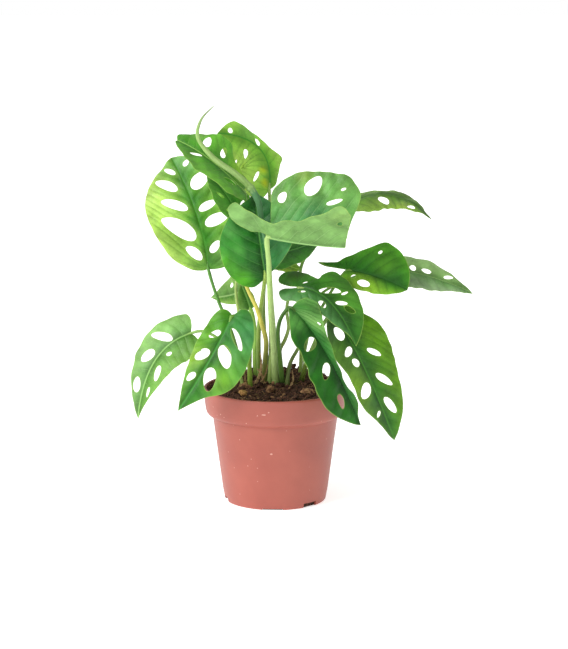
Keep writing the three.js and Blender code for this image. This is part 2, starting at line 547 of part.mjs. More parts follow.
function anticlockwise(points, [a, b, c]) {
  const [p, q, r] = [points[a], points[b], points[c]];
  return (q.x - p.x) * (r.y - p.y) - (q.y - p.y) * (r.x - p.x) > 0 ? [a, b, c] : [a, c, b];
}

function makeBlade(leaf, shape) {
  const top = [];
  const bottom = [];
  const upper = [];
  const flat = {};
  for (const half of ['left', 'right']) {
    flat[half] = flatHalf(leaf, shape, half);
    const { points, faces, ribCount } = flat[half];
    const width = shape.widths[half];
    const places = points.map((p, i) => {
      if (i < ribCount && half === 'right') return i;
      const along = p.x / shape.length;
      const across = p.y / width;
      const middle = shape.onHalf(half, along, across);
      const up = shape.upOn(half, along, across);
      if (i < ribCount) up.add(shape.upOn('right', along, 0)).normalize();
      top.push(middle.clone().addScaledVector(up, BLADE_HALF));
      bottom.push(middle.clone().addScaledVector(up, i < ribCount ? -RIB_DEPTH : -BLADE_HALF));
      return top.length - 1;
    });
    for (const [a, b, c] of faces) {
      const [p, q, r] = [places[a], places[b], places[c]];
      upper.push(half === 'left' ? [p, q, r] : [p, r, q]);
    }
  }
  return closedSheet(top, bottom, upper);
}

// Joins a sheet's two faces by a wall along every edge that only one triangle has
function closedSheet(top, bottom, upper) {
  const below = top.length;
  const directed = new Set(upper.flatMap(([a, b, c]) => [`${a},${b}`, `${b},${c}`, `${c},${a}`]));
  const triangles = [...upper, ...upper.map(([a, b, c]) => [below + c, below + b, below + a])];
  for (const key of directed) {
    const [a, b] = key.split(',').map(Number);
    if (directed.has(`${b},${a}`)) continue;
    triangles.push([b, a, below + a], [b, below + a, below + b]);
  }
  return toSolid([...top, ...bottom], triangles);
}

function makeLeaf(leaf) {
  const shape = bladeShape(leaf);
  const up = shape.upOn('left', STALK_REACH, 0).add(shape.upOn('right', STALK_REACH, 0)).normalize();
  const places = [...leaf.stalk, leaf.joint].map(vector);
  places.push(shape.rib.getPoint(STALK_REACH).addScaledVector(up, -STALK_BELOW_BLADE));
  const [foot, head] = leaf.thick;
  const radiusAt = (u) => foot + (head - foot) * u;
  const stalk = tube(places, radiusAt, STALK_SIDES);
  return toNode(leaf.name, makeBlade(leaf, shape).add(stalk), leafColour);
}

// A plain hole that a stalk stands in: the stalk's own foot, a little wider and deeper
function stalkHole(places, radius) {
  const curve = stalkCurve(places);
  const foot = places[0].clone().setZ(STALK_FOOT_Z - STALK_HOLE_GAP);
  const [low, high] = [0.2, 0.6].map((part) => curve.getPoint(part / (places.length - 1)));
  return tube([foot, low, high], () => radius + STALK_HOLE_GAP, HOLE_SIDES);
}

function makeRolledLeaf() {
  const places = ROLLED_LEAF.map(({ at }) => vector(at));
  const radiusAt = (u) => {
    const i = Math.min(Math.floor(u * (places.length - 1)), places.length - 2);
    return THREE.MathUtils.lerp(ROLLED_LEAF[i].radius, ROLLED_LEAF[i + 1].radius, u * (places.length - 1) - i);
  };
  return toNode('rolled_leaf', tube(places, radiusAt, ROLLED_SIDES), youngColour);
}

const plant = new THREE.Group();
plant.add(toNode('pot', makePot(), potColour));
const stalkHoles = LEAVES.map((leaf) => stalkHole([...leaf.stalk, leaf.joint].map(vector), leaf.thick[0]));
stalkHoles.push(stalkHole(ROLLED_LEAF.map(({ at }) => vector(at)), ROLLED_LEAF[0].radius));
plant.add(toNode('soil', makeSoil(stalkHoles), soilColour));
for (const leaf of LEAVES) plant.add(makeLeaf(leaf));
plant.add(makeRolledLeaf());

export default plant;
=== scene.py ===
import math
import random

import bpy
import numpy as np
from mathutils import Euler, Matrix, Vector, noise
from mathutils.geometry import delaunay_2d_cdt


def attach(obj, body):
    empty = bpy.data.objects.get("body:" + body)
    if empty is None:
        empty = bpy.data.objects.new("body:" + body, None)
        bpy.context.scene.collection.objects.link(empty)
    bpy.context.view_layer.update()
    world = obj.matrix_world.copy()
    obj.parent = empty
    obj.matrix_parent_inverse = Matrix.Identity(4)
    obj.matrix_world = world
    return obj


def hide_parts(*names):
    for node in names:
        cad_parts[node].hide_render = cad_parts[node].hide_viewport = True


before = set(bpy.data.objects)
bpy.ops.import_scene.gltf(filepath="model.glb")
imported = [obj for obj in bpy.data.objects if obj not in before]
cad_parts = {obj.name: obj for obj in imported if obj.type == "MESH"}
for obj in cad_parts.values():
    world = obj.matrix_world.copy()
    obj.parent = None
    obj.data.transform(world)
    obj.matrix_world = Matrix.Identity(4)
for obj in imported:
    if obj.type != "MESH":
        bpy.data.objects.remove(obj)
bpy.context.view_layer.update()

MM = 0.001

# The potted monstera, in millimetres as in the CAD: +Z up, the front faces -Y.

# Blade triangles are this wide, rows of points lie this far from the rib, side veins are this far apart
GRAIN = 1.15
RIB_ROWS = (0.55, 1.2, 2.0)
VEIN_SPACING = 9.0
# Side veins lean towards the tip and bow more towards the margin
VEIN_SLANT = 0.35
VEIN_BOW = 0.22
# A half is widest at this share of the rib, and its margin ripples this many times
WIDEST = 0.35
WAVES = 2.2
WAVE_START = {"left": 0.1, "right": 0.45}
# Half the thickness deep in the blade and at its margin, and the ridges of rib and veins underneath
HALF_THICK = 0.28
HALF_THICK_AT_EDGE = 0.13
RIB_RIDGE = 1.0
VEIN_RIDGE = 0.12
# Relief of the blade: quilting between veins, grooves on veins and rib, arch over the width, crimped margin
QUILT = 0.6
VEIN_GROOVE = 0.18
RIB_GROOVE = 0.35
ARCH = 0.14
CRIMP = 0.5
CRIMP_LENGTH = 2.1
# Soft lumps all over, of about a centimetre; a leaf says how high
LUMP_SCALE = 0.09

# A stalk ends under the rib, this share along it and this far below
STALK_REACH = 0.07
STALK_BELOW_BLADE = 0.5
STALK_SIDES = 14
STALK_STEP = 2.4
JOINT_SWELL = 0.16
CHANNEL = 0.13
FLARE = 0.3
FLARE_HEIGHT = 8
# A stalk's points lie far from every vein and margin
NO_VEIN = 9.0

# The young leaf's rings are this far apart, and the swollen ring is its seventh place
ROLL_STEP = 1.6
ROLL_SIDES = 30
RING_AT = 6.0

# Bits on the mix and the pot
CRUMB_SUNK = 0.35
FIBRES = 210
FLECK_THICK = 0.12
# A dark peat block behind each drain opening is painted shade for the dark inside of the pot
SHADE_PEAT_BEHIND = 38.2
SHADE_PEAT_THICK = 3.6

# Outlines of a half: along the rib from stalk to tip, and out to the margin, both as shares
BLADE_EDGE = [
    (0, 0), (-0.07, 0.12), (-0.13, 0.36), (-0.1, 0.66), (0.04, 0.9), (0.24, 1), (0.44, 0.95),
    (0.64, 0.74), (0.8, 0.45), (0.91, 0.19), (1, 0),
]

FAR_HALF_EDGE = [
    (0, 0), (-0.04, 0.3), (-0.12, 0.58), (-0.06, 0.76), (0.05, 0.89), (0.21, 0.97), (0.56, 1.03),
    (0.97, 1.01), (1.1, 0.9), (1.16, 0.74), (1.13, 0.56), (1.06, 0.36), (1.01, 0.14), (1, 0),
]

NEAR_HALF_EDGE = [
    (0, 0), (-0.1, 0.03), (-0.25, 0.05), (-0.4, 0.11), (-0.53, 0.25), (-0.63, 0.5), (-0.61, 0.76),
    (-0.51, 0.82), (-0.42, 0.66), (-0.3, 0.57), (-0.16, 0.48), (0, 0.43), (0.16, 0.57), (0.33, 0.7),
    (0.47, 1.02), (0.62, 1.28), (0.77, 1.08), (0.84, 0.75), (0.94, 0.25), (1, 0),
]

CORNERED_EDGE = [
    (0, 0), (0.05, 0.3), (0.13, 0.5), (0.25, 0.76), (0.31, 1.02), (0.42, 0.64), (0.56, 0.52),
    (0.68, 0.61), (0.79, 0.76), (0.84, 0.83), (0.9, 0.62), (0.95, 0.33), (1, 0),
]

POINTED_EDGE = [
    (0, 0), (-0.2, 0.01), (-0.38, 0.02), (-0.5, 0.09), (-0.34, 0.14), (-0.2, 0.19), (-0.11, 0.34),
    (0.02, 0.52), (0.18, 0.78), (0.34, 1.04), (0.48, 0.98), (0.67, 0.82), (0.85, 0.5), (0.95, 0.22),
    (1, 0),
]

# What a leaf has unless its own row says otherwise
PLAIN_LEAF = dict(
    wave=0.8, lobe=(1, 1), full=(1, 1), bulge=0.7, lumps=1.5, stalk_colours=("#6E8240", "#92B25C"),
    left_edge=None, right_edge=None, left_holes=[], right_holes=[], left_patches=[], right_patches=[],
)

# Each leaf: its rib through joint, middle and tip, how far its halves reach, how far their base lobes and
# their fullness are drawn out (left, then right), its stalk from the mix up, and the stalk's radius at its
# foot and head. A hole is its place along and across, its length, width and slant in degrees. A patch is
# its place along and across, its reach, colour and strength.
LEAVES = [
    dict(
        name="leaf_high_left", piece="high_left_leaf",
        joint=(-56, 15, 193), middle=(-66, 20, 239), tip=(-88, 52, 282),
        left=(-108, 22, 238), right=(-29, 24, 245), lobe=(0.6, 0.3), full=(1.15, 1.7), thick=(1.7, 1.2),
        stalk=[(-24, 20, 86), (-36, 10, 138), (-48, 13, 167)],
        left_holes=[(0.87, 0.16, 9, 6, 75), (0.73, 0.35, 18, 11, 80), (0.54, 0.36, 23, 11, 89),
            (0.3, 0.43, 30, 21, 84), (0.1, 0.24, 15, 12, 86)],
        right_holes=[(0.89, 0.24, 7, 4, 82), (0.71, 0.36, 20, 12, 87), (0.5, 0.3, 17, 7, 99),
            (0.36, 0.4, 22, 10, 103), (0.16, 0.22, 11, 8, 56)],
        bulge=0.8, vein="#3C8418", under="#8DB768",
        # The yellow-green of the left half and of its pale patch is partly the leaf's own green and partly
        # painted light shining through the thin blade
        deep=dict(left="#4A8E28", right="#3A8A1C"), light=dict(left="#B6DC62", right="#8CC24C"),
        left_patches=[(0.2, 0.5, 30, "#7CAE38", 0.6), (0.55, 0.85, 22, "#B8D870", 0.6),
            (1.0, 0.5, 26, "#86B67C", 0.8)],
        right_patches=[(0.95, 0.4, 24, "#84B478", 0.85), (0.08, 0.5, 24, "#7FB65C", 0.8)],
        stalk_colours=("#8CAA52", "#5E9440"),
    ),
    dict(
        name="leaf_top_left", piece="top_left_leaf",
        joint=(-26, -14, 263), middle=(-53, -26, 290), tip=(-80, -12, 304),
        left=(-53, -47, 276), right=(-40, -5, 304), thick=(2.4, 1.1),
        stalk=[(-9, 1, 86), (-8.8, -4, 115), (-7.8, -10, 137), (-11.5, -11, 152), (-15.4, -9, 164),
            (-25, -2, 186), (-25, 2, 224), (-24, -3, 249)],
        left_edge=[(0, 0), (-0.05, 0.08), (-0.04, 0.45), (0.01, 0.59), (0.15, 0.85), (0.24, 0.84),
            (0.34, 0.87), (0.44, 0.97), (0.51, 1), (0.59, 0.88), (0.7, 0.67), (0.82, 0.47), (0.96, 0.17),
            (1, 0)],
        right_edge=[(0, 0), (-0.03, 0.2), (0, 0.36), (0.08, 0.42), (0.16, 0.53), (0.22, 0.73), (0.25, 0.9),
            (0.32, 0.99), (0.41, 1), (0.54, 0.93), (0.71, 0.71), (0.84, 0.53), (0.98, 0.33), (1.04, 0.17),
            (1, 0)],
        left_holes=[(0.64, 0.24, 10, 4, 38), (0.18, 0.21, 12, 5, 23)],
        right_holes=[(0.62, 0.48, 12, 9, 99), (0.35, 0.51, 11, 6, 104)],
        bulge=0.8, vein="#86BC52", under="#7FAE62",
        deep=dict(left="#3C8A1C", right="#44901E"), light=dict(left="#6CAE3C", right="#62AE30"),
        right_patches=[(0.1, 0.4, 16, "#8FBE2C", 0.7), (0.8, 0.7, 16, "#8CBE62", 0.7)],
        stalk_colours=("#5A6A26", "#848640", "#D6CA5E", "#D6CC60", "#7FAE50"),
    ),
    dict(
        name="leaf_behind_left", piece="behind_left_leaf",
        joint=(-24, 14, 228), middle=(-40, 18, 254), tip=(-58, 22, 277),
        left=(-49, 6, 250), right=(-25, 30, 257), wave=0.6, thick=(1.5, 1),
        stalk=[(-18, 8, 86), (-24, 8, 125), (-31, 12, 158), (-33, 15, 179), (-28, 10, 200)],
        left_holes=[(0.22, 0.45, 8, 5, 75), (0.5, 0.42, 7, 4, 60)],
        right_holes=[(0.25, 0.45, 9, 5, 75), (0.52, 0.42, 7, 4, 60)],
        vein="#5C9E3C", under="#7FAE62",
        deep=dict(left="#327C1C", right="#327C1C"), light=dict(left="#62A63A", right="#62A63A"),
        stalk_colours=("#8E8C44", "#A8BC60", "#A4C070"),
    ),
    dict(
        name="leaf_top_back", piece="top_back_leaf",
        joint=(-5, 25, 258), middle=(-13, 38, 291), tip=(-48, 22, 306),
        left=(-34, 18, 275), right=(3, 48, 286), thick=(1.7, 1.2),
        stalk=[(-5, 27, 86), (-10, 30, 164), (-4, 34, 219)],
        left_edge=[(0, 0), (-0.07, 0.11), (-0.13, 0.3), (-0.11, 0.51), (-0.02, 0.8), (0.14, 0.96),
            (0.5, 0.96), (0.91, 0.83), (0.95, 0.61), (0.98, 0.39), (1, 0)],
        right_edge=CORNERED_EDGE,
        left_holes=[(0.67, 0.39, 9, 6, 123), (0.11, 0.39, 12, 3, 158), (0.82, 0.69, 4, 2, 69)],
        right_holes=[(0.88, 0.24, 5, 3.4, 100), (0.57, 0.2, 7, 3, 20)],
        vein="#3A8A20", under="#8CB85A",
        deep=dict(left="#76B832", right="#68AE2A"), light=dict(left="#B0D85C", right="#98CC4C"),
        left_patches=[(0.05, 0.16, 6, "#B8C414", 0.9), (0.2, 0.2, 7, "#B4C818", 0.8),
            (0.62, 0.8, 9, "#A6C42C", 0.6)],
        right_patches=[(0.7, 0.5, 16, "#74B44C", 0.7)],
    ),
    dict(
        name="leaf_front_top", piece="folded_top_leaf",
        joint=(-6, -40, 229), middle=(24, -50, 225), tip=(57, -52, 222),
        left=(27, -24, 280), right=(26, -80, 254), wave=0, thick=(3.2, 1.6),
        stalk=[(0.5, -3, 86), (-1.8, -15, 142), (-3.8, -27, 174), (-5.2, -36, 206)],
        left_edge=FAR_HALF_EDGE,
        right_edge=NEAR_HALF_EDGE,
        left_holes=[(0.49, 0.81, 21, 14, 51), (0.05, 0.57, 10, 9, 53), (0.83, 0.61, 15, 4, 19),
            (0.95, 0.8, 5, 2.4, 20)],
        right_holes=[(0.74, 0.74, 5, 3.4, 84)],
        bulge=0.6, lumps=3.2, vein="#9CCB7C", under="#7CA85C",
        deep=dict(left="#478F44", right="#5E944C"), light=dict(left="#6CA44A", right="#7CAA5C"),
        left_patches=[(0.6, 0.35, 26, "#4A9658", 0.7), (0.3, 0.95, 16, "#94B440", 0.6)],
        right_patches=[(0.7, 1.0, 16, "#A4BE50", 0.6), (0.1, 0.2, 16, "#82B060", 0.6)],
        stalk_colours=("#86A254", "#BCD488", "#B4D080", "#A8C874"),
    ),
    dict(
        name="leaf_centre", piece="centre_leaf",
        joint=(-8, -18, 193), middle=(-13, -20, 227), tip=(-16, -9, 261),
        left=(-46, -20, 219), right=(17, -28, 226), lobe=(1.2, 0.1), thick=(2.2, 1.5),
        stalk=[(-13, 4, 86), (-14, 0, 140), (-12, -4, 163), (-8.8, -13, 187)],
        right_edge=[(0, 0), (0.03, 0.2), (0.09, 0.42), (0.17, 0.63), (0.27, 0.84), (0.38, 0.97),
            (0.48, 0.98), (0.64, 0.8), (0.8, 0.5), (0.92, 0.2), (1, 0)],
        bulge=0.9, lumps=2.4, vein="#4F8F3C", under="#6FA365",
        deep=dict(left="#0E580C", right="#1C6428"), light=dict(left="#2E7C20", right="#428A48"),
        # On the left half, the four lighter patches of 7 to 8 mm reach are painted highlights, a cloudy
        # sheen on the dark blade
        left_patches=[(0.12, 1.0, 17, "#4FA01A", 0.9), (-0.05, 0.6, 17, "#4FA01A", 0.9),
            (0.3, 0.55, 8, "#4A9636", 0.6), (0.52, 0.72, 8, "#5CA44C", 0.6), (0.6, 0.3, 7, "#4E9650", 0.5),
            (0.42, 0.3, 7, "#0B4A0C", 0.8), (0.75, 0.55, 8, "#3E8A38", 0.5)],
        right_patches=[(0.5, 0.6, 18, "#5A9C62", 0.6)],
        stalk_colours=("#56702C", "#7E9A40", "#A0BC58"),
    ),
    dict(
        name="leaf_right_high", piece="high_right_leaf",
        joint=(64, 35, 246), middle=(99, 36, 252), tip=(131, 26, 233),
        left=(92, 60, 253), right=(90, 12, 243), lobe=(0.4, 0.4), wave=0.6, thick=(1.8, 1.1),
        stalk=[(21, 23, 86), (22, 26, 139), (23, 32, 196), (50, 38, 224)],
        right_holes=[(0.38, 0.46, 16, 11, 65), (0.76, 0.28, 9, 4, 128)],
        bulge=0.9, vein="#42701C", under="#8FB07A",
        deep=dict(left="#4A781E", right="#4E7C22"), light=dict(left="#7EA644", right="#82A83E"),
        right_patches=[(0.72, 0.6, 16, "#A0C24A", 0.8)],
        stalk_colours=("#8FA850", "#6E9440"),
    ),
    dict(
        name="leaf_right_middle", piece="middle_right_leaf",
        joint=(60, -8, 196), middle=(85, -14, 191), tip=(109, -18, 181),
        left=(92, 4, 216), right=(75, -24, 180), lobe=(1, 0.6), full=(1, 1.4), wave=0.6, thick=(1.9, 1.1),
        stalk=[(9.5, -11, 86), (11.6, -8, 115), (19, -3, 129), (31.5, 0, 151)],
        left_edge=POINTED_EDGE,
        left_holes=[(0.34, 0.7, 4, 2.4, 75)],
        right_holes=[(0.1, 0.34, 5, 3.2, 150), (0.28, 0.58, 11, 7, 175)],
        bulge=1.1, vein="#1F5A10", under="#7FAE62",
        deep=dict(left="#226610", right="#2E7412"), light=dict(left="#4C961A", right="#74AC28"),
        left_patches=[(0.5, 0.35, 14, "#5EA024", 0.6)],
        right_patches=[(0.3, 0.9, 24, "#8CB82C", 0.7)],
        stalk_colours=("#5C6630", "#788E48", "#66903A"),
    ),
    dict(
        name="leaf_far_right", piece="far_right_leaf",
        joint=(98, 16, 192), middle=(131, 20, 185), tip=(166, 20, 171),
        left=(115, 36, 200), right=(116, -10, 181), full=(1.1, 1.5), wave=0.6, thick=(1.5, 1),
        stalk=[(17, 31, 86), (26, 27, 126), (34, 30, 164), (65, 30, 183)],
        left_holes=[(0.16, 0.38, 9, 5, 71), (0.29, 0.26, 8, 5, 49), (0.46, 0.28, 9, 6, 20),
            (0.72, 0.3, 9, 3.5, 24)],
        vein="#86AE66", under="#9DBF8D",
        deep=dict(left="#72A650", right="#609A44"), light=dict(left="#A0C67C", right="#92B27E"),
        stalk_colours=("#8CA858", "#6E9A44"),
    ),
    dict(
        name="leaf_centre_right", piece="inner_right_leaf",
        joint=(20, -30, 185), middle=(45, -42, 175), tip=(66, -54, 141),
        left=(63, -25, 187), right=(33, -50, 165), thick=(1.9, 1.2),
        stalk=[(4.5, 10, 86), (3.2, -6, 118), (4.2, -10, 130), (8, -12.5, 138), (11, -15, 149),
            (9.4, -19, 164), (12, -25, 177)],
        left_edge=[(0, 0), (-0.19, 0.07), (-0.37, 0.2), (-0.47, 0.46), (-0.45, 0.66), (-0.31, 0.72),
            (-0.12, 0.66), (0.09, 0.47), (0.09, 0.67), (0.12, 0.88), (0.18, 0.99), (0.29, 1), (0.44, 0.92),
            (0.58, 0.81), (0.74, 0.62), (0.89, 0.3), (1, 0)],
        right_edge=[(0, 0), (-0.11, 0.04), (-0.23, 0.04), (-0.32, 0.25), (-0.32, 0.55), (-0.26, 0.7),
            (-0.15, 0.73), (-0.04, 0.85), (0.13, 1), (0.37, 0.79), (0.52, 0.65), (0.67, 0.53), (0.79, 0.32),
            (0.88, 0.12), (1, 0)],
        left_holes=[(0.33, 0.31, 16, 8, 54), (0.43, 0.58, 7, 2.2, 101), (0.54, 0.27, 9, 4, 73),
            (0.63, 0.37, 8, 6, 58), (0.01, 0.22, 4, 2, 45)],
        right_holes=[(0.4, 0.35, 10, 5, 168), (0.03, 0.22, 9, 1.8, 172)],
        bulge=0.9, vein="#3A7424", under="#79A968",
        deep=dict(left="#1F5A0C", right="#2E6224"), light=dict(left="#448224", right="#4E8444"),
        # The dark patch on the left half's base lobe is painted shade on the far lobe
        left_patches=[(-0.2, 0.5, 16, "#30540E", 0.85), (0.5, 0.85, 26, "#4E8E22", 0.6)],
        stalk_colours=("#70703A", "#8C9A4C", "#8EAC5C"),
    ),
    dict(
        name="leaf_lower_right", piece="lower_right_leaf",
        joint=(48, -25, 163), middle=(73, -45, 121), tip=(98, -48, 61),
        left=(100, -30, 128), right=(53, -50, 123), thick=(2.3, 1.4),
        stalk=[(19, 8, 86), (25.6, -8, 117), (31.4, -12, 132), (39.5, -18, 152)],
        left_edge=[(0, 0), (-0.07, 0.19), (-0.1, 0.4), (-0.09, 0.62), (-0.03, 0.76), (0.01, 0.89),
            (0.07, 0.97), (0.16, 1), (0.26, 1), (0.37, 0.92), (0.52, 0.8), (0.65, 0.7), (0.74, 0.6),
            (0.83, 0.43), (0.93, 0.2), (1, 0)],
        right_edge=[(0, 0), (-0.04, 0.09), (0, 0.43), (0.05, 0.69), (0.13, 0.89), (0.22, 1), (0.32, 1),
            (0.42, 0.87), (0.53, 0.83), (0.62, 0.86), (0.7, 0.79), (0.77, 0.62), (0.86, 0.37), (0.95, 0.17),
            (1, 0)],
        left_holes=[(0.35, 0.44, 11, 7, 67), (0.57, 0.37, 14, 8, 58), (0.76, 0.24, 13, 9, 15)],
        right_holes=[(0.16, 0.3, 15, 8, 169), (0.32, 0.34, 9, 7, 82), (0.42, 0.27, 9, 5, 158),
            (0.62, 0.4, 12, 10, 72), (0.8, 0.26, 5, 3, 69)],
        bulge=0.45, vein="#3E7C22", under="#82AE66",
        deep=dict(left="#306E18", right="#306226"), light=dict(left="#5E9018", right="#568428"),
        left_patches=[(0.15, 0.7, 34, "#5E9602", 0.7)],
        right_patches=[(0.55, 0.8, 22, "#7CA828", 0.6), (0.1, 0.5, 20, "#5C7C56", 0.6)],
        stalk_colours=("#46541A", "#768C3C", "#6C9440"),
    ),
    dict(
        name="leaf_lower_middle", piece="lower_middle_leaf",
        joint=(13, -54, 173), middle=(41, -62, 138), tip=(70, -66, 78),
        left=(66, -54, 130), right=(15, -83, 142), thick=(2.4, 1.2),
        stalk=[(7, 2, 86), (3.6, -19, 126), (2.2, -31, 149), (5, -39, 162)],
        left_edge=[(0, 0), (-0.21, 0.45), (-0.37, 0.86), (-0.35, 1), (-0.29, 1), (0.01, 0.65), (0.17, 0.5),
            (0.32, 0.38), (0.52, 0.23), (0.61, 0.21), (0.69, 0.1), (0.74, 0.13), (0.76, 0.27), (0.82, 0.26),
            (0.93, 0.05), (1, 0)],
        right_edge=[(0, 0), (0, 0.15), (0.11, 0.46), (0.2, 0.72), (0.29, 0.84), (0.36, 0.81), (0.46, 0.88),
            (0.56, 0.92), (0.68, 1), (0.78, 1), (0.86, 0.83), (0.92, 0.56), (0.97, 0.27), (1, 0)],
        left_holes=[(0.13, 0.43, 5, 3.4, 5)],
        right_holes=[(0.38, 0.37, 17, 10, 77), (0.61, 0.38, 15, 8, 56), (0.82, 0.39, 10, 7, 24)],
        vein="#1E6A18", under="#79A968",
        deep=dict(left="#2E7626", right="#0A4804"), light=dict(left="#5E9444", right="#1F640C"),
        left_patches=[(0.12, 0.3, 24, "#7CAE5C", 0.8)],
        right_patches=[(0.12, 0.35, 22, "#5CA044", 0.9), (0.95, 0.4, 18, "#2E8418", 0.6)],
        stalk_colours=("#5C7C3C", "#5E8438", "#3A6414"),
    ),
    dict(
        name="leaf_lower_left", piece="lower_left_leaf",
        joint=(-35, -42, 164), middle=(-54, -58, 129), tip=(-79, -62, 89),
        left=(-21, -61, 128), right=(-64, -49, 143), lobe=(0.5, 0.4), full=(1.25, 1.1), thick=(2.2, 1.5),
        stalk=[(-21, -6, 86), (-22, -24, 125), (-26, -34, 144)],
        left_edge=[(0, 0), (-0.04, 0.07), (-0.09, 0.17), (-0.1, 0.35), (-0.04, 0.56), (0.06, 0.73),
            (0.16, 0.85), (0.27, 0.93), (0.42, 1), (0.57, 0.96), (0.68, 0.78), (0.78, 0.44), (0.9, 0.18),
            (1, 0)],
        left_holes=[(0.2, 0.4, 21, 6, 46), (0.39, 0.33, 20, 10, 41), (0.63, 0.27, 19, 10, 24)],
        right_holes=[(0.22, 0.38, 10, 7, 41), (0.45, 0.45, 13, 9, 33), (0.68, 0.36, 9, 6, 21)],
        bulge=0.9, vein="#3C8A2C", under="#82AE66",
        deep=dict(left="#276E10", right="#23660A"), light=dict(left="#529236", right="#62A028"),
        left_patches=[(0.1, 0.7, 30, "#3F8C4E", 0.8), (0.6, 0.6, 20, "#74A820", 0.6)],
        right_patches=[(0.1, 0.4, 20, "#3E8608", 0.7), (0.5, 0.9, 18, "#98BE3A", 0.6)],
        stalk_colours=("#7E9C3A", "#8CAC46", "#6C9A3C"),
    ),
    dict(
        name="leaf_far_left", piece="far_left_leaf",
        joint=(-70, -15, 144), middle=(-100, -20, 121), tip=(-114, -22, 73),
        left=(-75, -32, 123), right=(-104, -6, 144), lobe=(0.2, 0.2), full=(1.1, 1.2), wave=0.6,
        thick=(1.5, 1), stalk=[(-23, -13, 86), (-39, -20, 133), (-59, -17, 146)],
        left_holes=[(0.35, 0.3, 6, 4, 178), (0.6, 0.38, 15, 6, 11), (0.79, 0.26, 8, 3, 6)],
        right_holes=[(0.28, 0.46, 21, 7, 49), (0.5, 0.38, 15, 8, 25), (0.76, 0.31, 11, 7, 170)],
        vein="#90C26C", under="#92BC76",
        deep=dict(left="#528E2C", right="#62984A"), light=dict(left="#74A648", right="#80B05C"),
        stalk_colours=("#9AAC60", "#8CB45C"),
    ),
    dict(
        name="leaf_small_left", piece="small_left_leaf",
        joint=(-27, 42, 170), middle=(-40, 44, 165), tip=(-55, 46, 163),
        left=(-33, 38, 159), right=(-34, 54, 184), lobe=(0.6, 0.6), wave=0.5, thick=(1.2, 0.9),
        stalk=[(-22, 36, 86), (-21, 38, 128), (-22, 42, 153)],
        right_holes=[(0.42, 0.42, 5, 3, 80)],
        bulge=0.4, vein="#A8CC80", under="#92BC76",
        deep=dict(left="#4E9420", right="#6CA646"), light=dict(left="#94BE58", right="#94BE62"),
    ),
    dict(
        name="leaf_small_upright", piece="small_upright_leaf",
        joint=(-21, 26, 157), middle=(-24, 28, 166), tip=(-29, 30, 178),
        left=(-32, 30, 160), right=(-18, 26, 168), lobe=(0.5, 0.5), wave=0.3, thick=(2.3, 1.8),
        stalk=[(-16, 14, 86), (-17.2, 10, 119), (-17, 13, 136), (-18.6, 20, 148)],
        bulge=0.4, vein="#6CA048", under="#79A968",
        deep=dict(left="#2C6A08", right="#2C6A08"), light=dict(left="#669636", right="#669636"),
        stalk_colours=("#6E8838", "#9CC458", "#98C45C"),
    ),
    dict(
        name="leaf_inner_right", piece="upper_inner_leaf",
        joint=(-9, 6, 204), middle=(16, 6, 211), tip=(39, 8, 219),
        left=(11, 24, 222), right=(14, -8, 199), lobe=(0.8, 0.8), wave=0.6, thick=(1.5, 1),
        stalk=[(4, 14, 86), (-3, 12, 150), (-6, 8, 181)],
        left_holes=[(0.36, 0.46, 9, 5, 70)],
        vein="#5C9A48", under="#79A968",
        deep=dict(left="#28691A", right="#28691A"), light=dict(left="#649A3A", right="#4E8E38"),
        stalk_colours=("#A8B468", "#7CA850"),
    ),
    dict(
        name="leaf_small_back", piece="small_back_leaf",
        joint=(-3, 32, 199), middle=(9, 36, 193), tip=(22, 38, 188),
        left=(11, 44, 197), right=(6, 28, 188), lobe=(0.5, 0.5), wave=0.3, thick=(1.2, 0.9),
        stalk=[(4, 34, 86), (-3, 34, 137), (-5, 36, 176)],
        bulge=0.4, vein="#A4C850", under="#9CBF5A",
        deep=dict(left="#6A9A16", right="#6A9A16"), light=dict(left="#A4C83C", right="#A4C83C"),
    ),
]

# Places up the rolled young leaf, from the mix to its tip
ROLLED_LEAF = [
    dict(at=(-5.6, -2, 86), radius=1.8),
    dict(at=(-3.4, -8, 137), radius=1.8),
    dict(at=(-4.6, -22.5, 176), radius=1.8),
    dict(at=(-5.6, -32, 212), radius=1.8),
    dict(at=(-10.5, -33, 238), radius=2),
    dict(at=(-14, -30, 257), radius=2.6),
    dict(at=(-20, -27, 267), radius=3),
    dict(at=(-30, -34, 278), radius=2.5),
    dict(at=(-51, -43, 295), radius=2.1),
    dict(at=(-62, -46, 311), radius=1.6),
    dict(at=(-59, -48, 325), radius=1),
    dict(at=(-49, -50, 336), radius=0.4),
]


# ---- Small tools ----

# 0 up to low, 1 from high on, and an even bend between them
def smooth(low, high, value):
    share = np.clip((value - low) / (high - low), 0, 1)
    return share * share * (3 - 2 * share)


# 1 where the gap is nothing, fading to 0 over about twice the spread
def hump(gap, spread):
    return np.exp(-(gap / spread) ** 2)


# Vectors drawn to a length of 1
def unit(vectors):
    return vectors / np.linalg.norm(vectors, axis=-1, keepdims=True)


# How far along a line of points each point lies
def reach_along(line):
    return np.concatenate([[0], np.cumsum(np.linalg.norm(np.diff(line, axis=0), axis=1))])


# Points evenly spaced along a line of points
def spaced(line, step):
    line = np.asarray(line, float)
    reach = reach_along(line)
    stops = np.linspace(0, reach[-1], max(3, round(reach[-1] / step)) + 1)
    return np.stack([np.interp(stops, reach, line[:, k]) for k in range(line.shape[1])], 1)


# An sRGB hex colour as linear red, green, blue and alpha
def linear(hex_colour):
    parts = [int(hex_colour[i:i + 2], 16) / 255 for i in (1, 3, 5)]
    parts = [c / 12.92 if c <= 0.04045 else ((c + 0.055) / 1.055) ** 2.4 for c in parts]
    return (*parts, 1.0)


# Linear colours drawn towards a hex colour by a share
def toward(colours, hex_colour, share):
    return colours + (np.array(linear(hex_colour)) - colours) * share


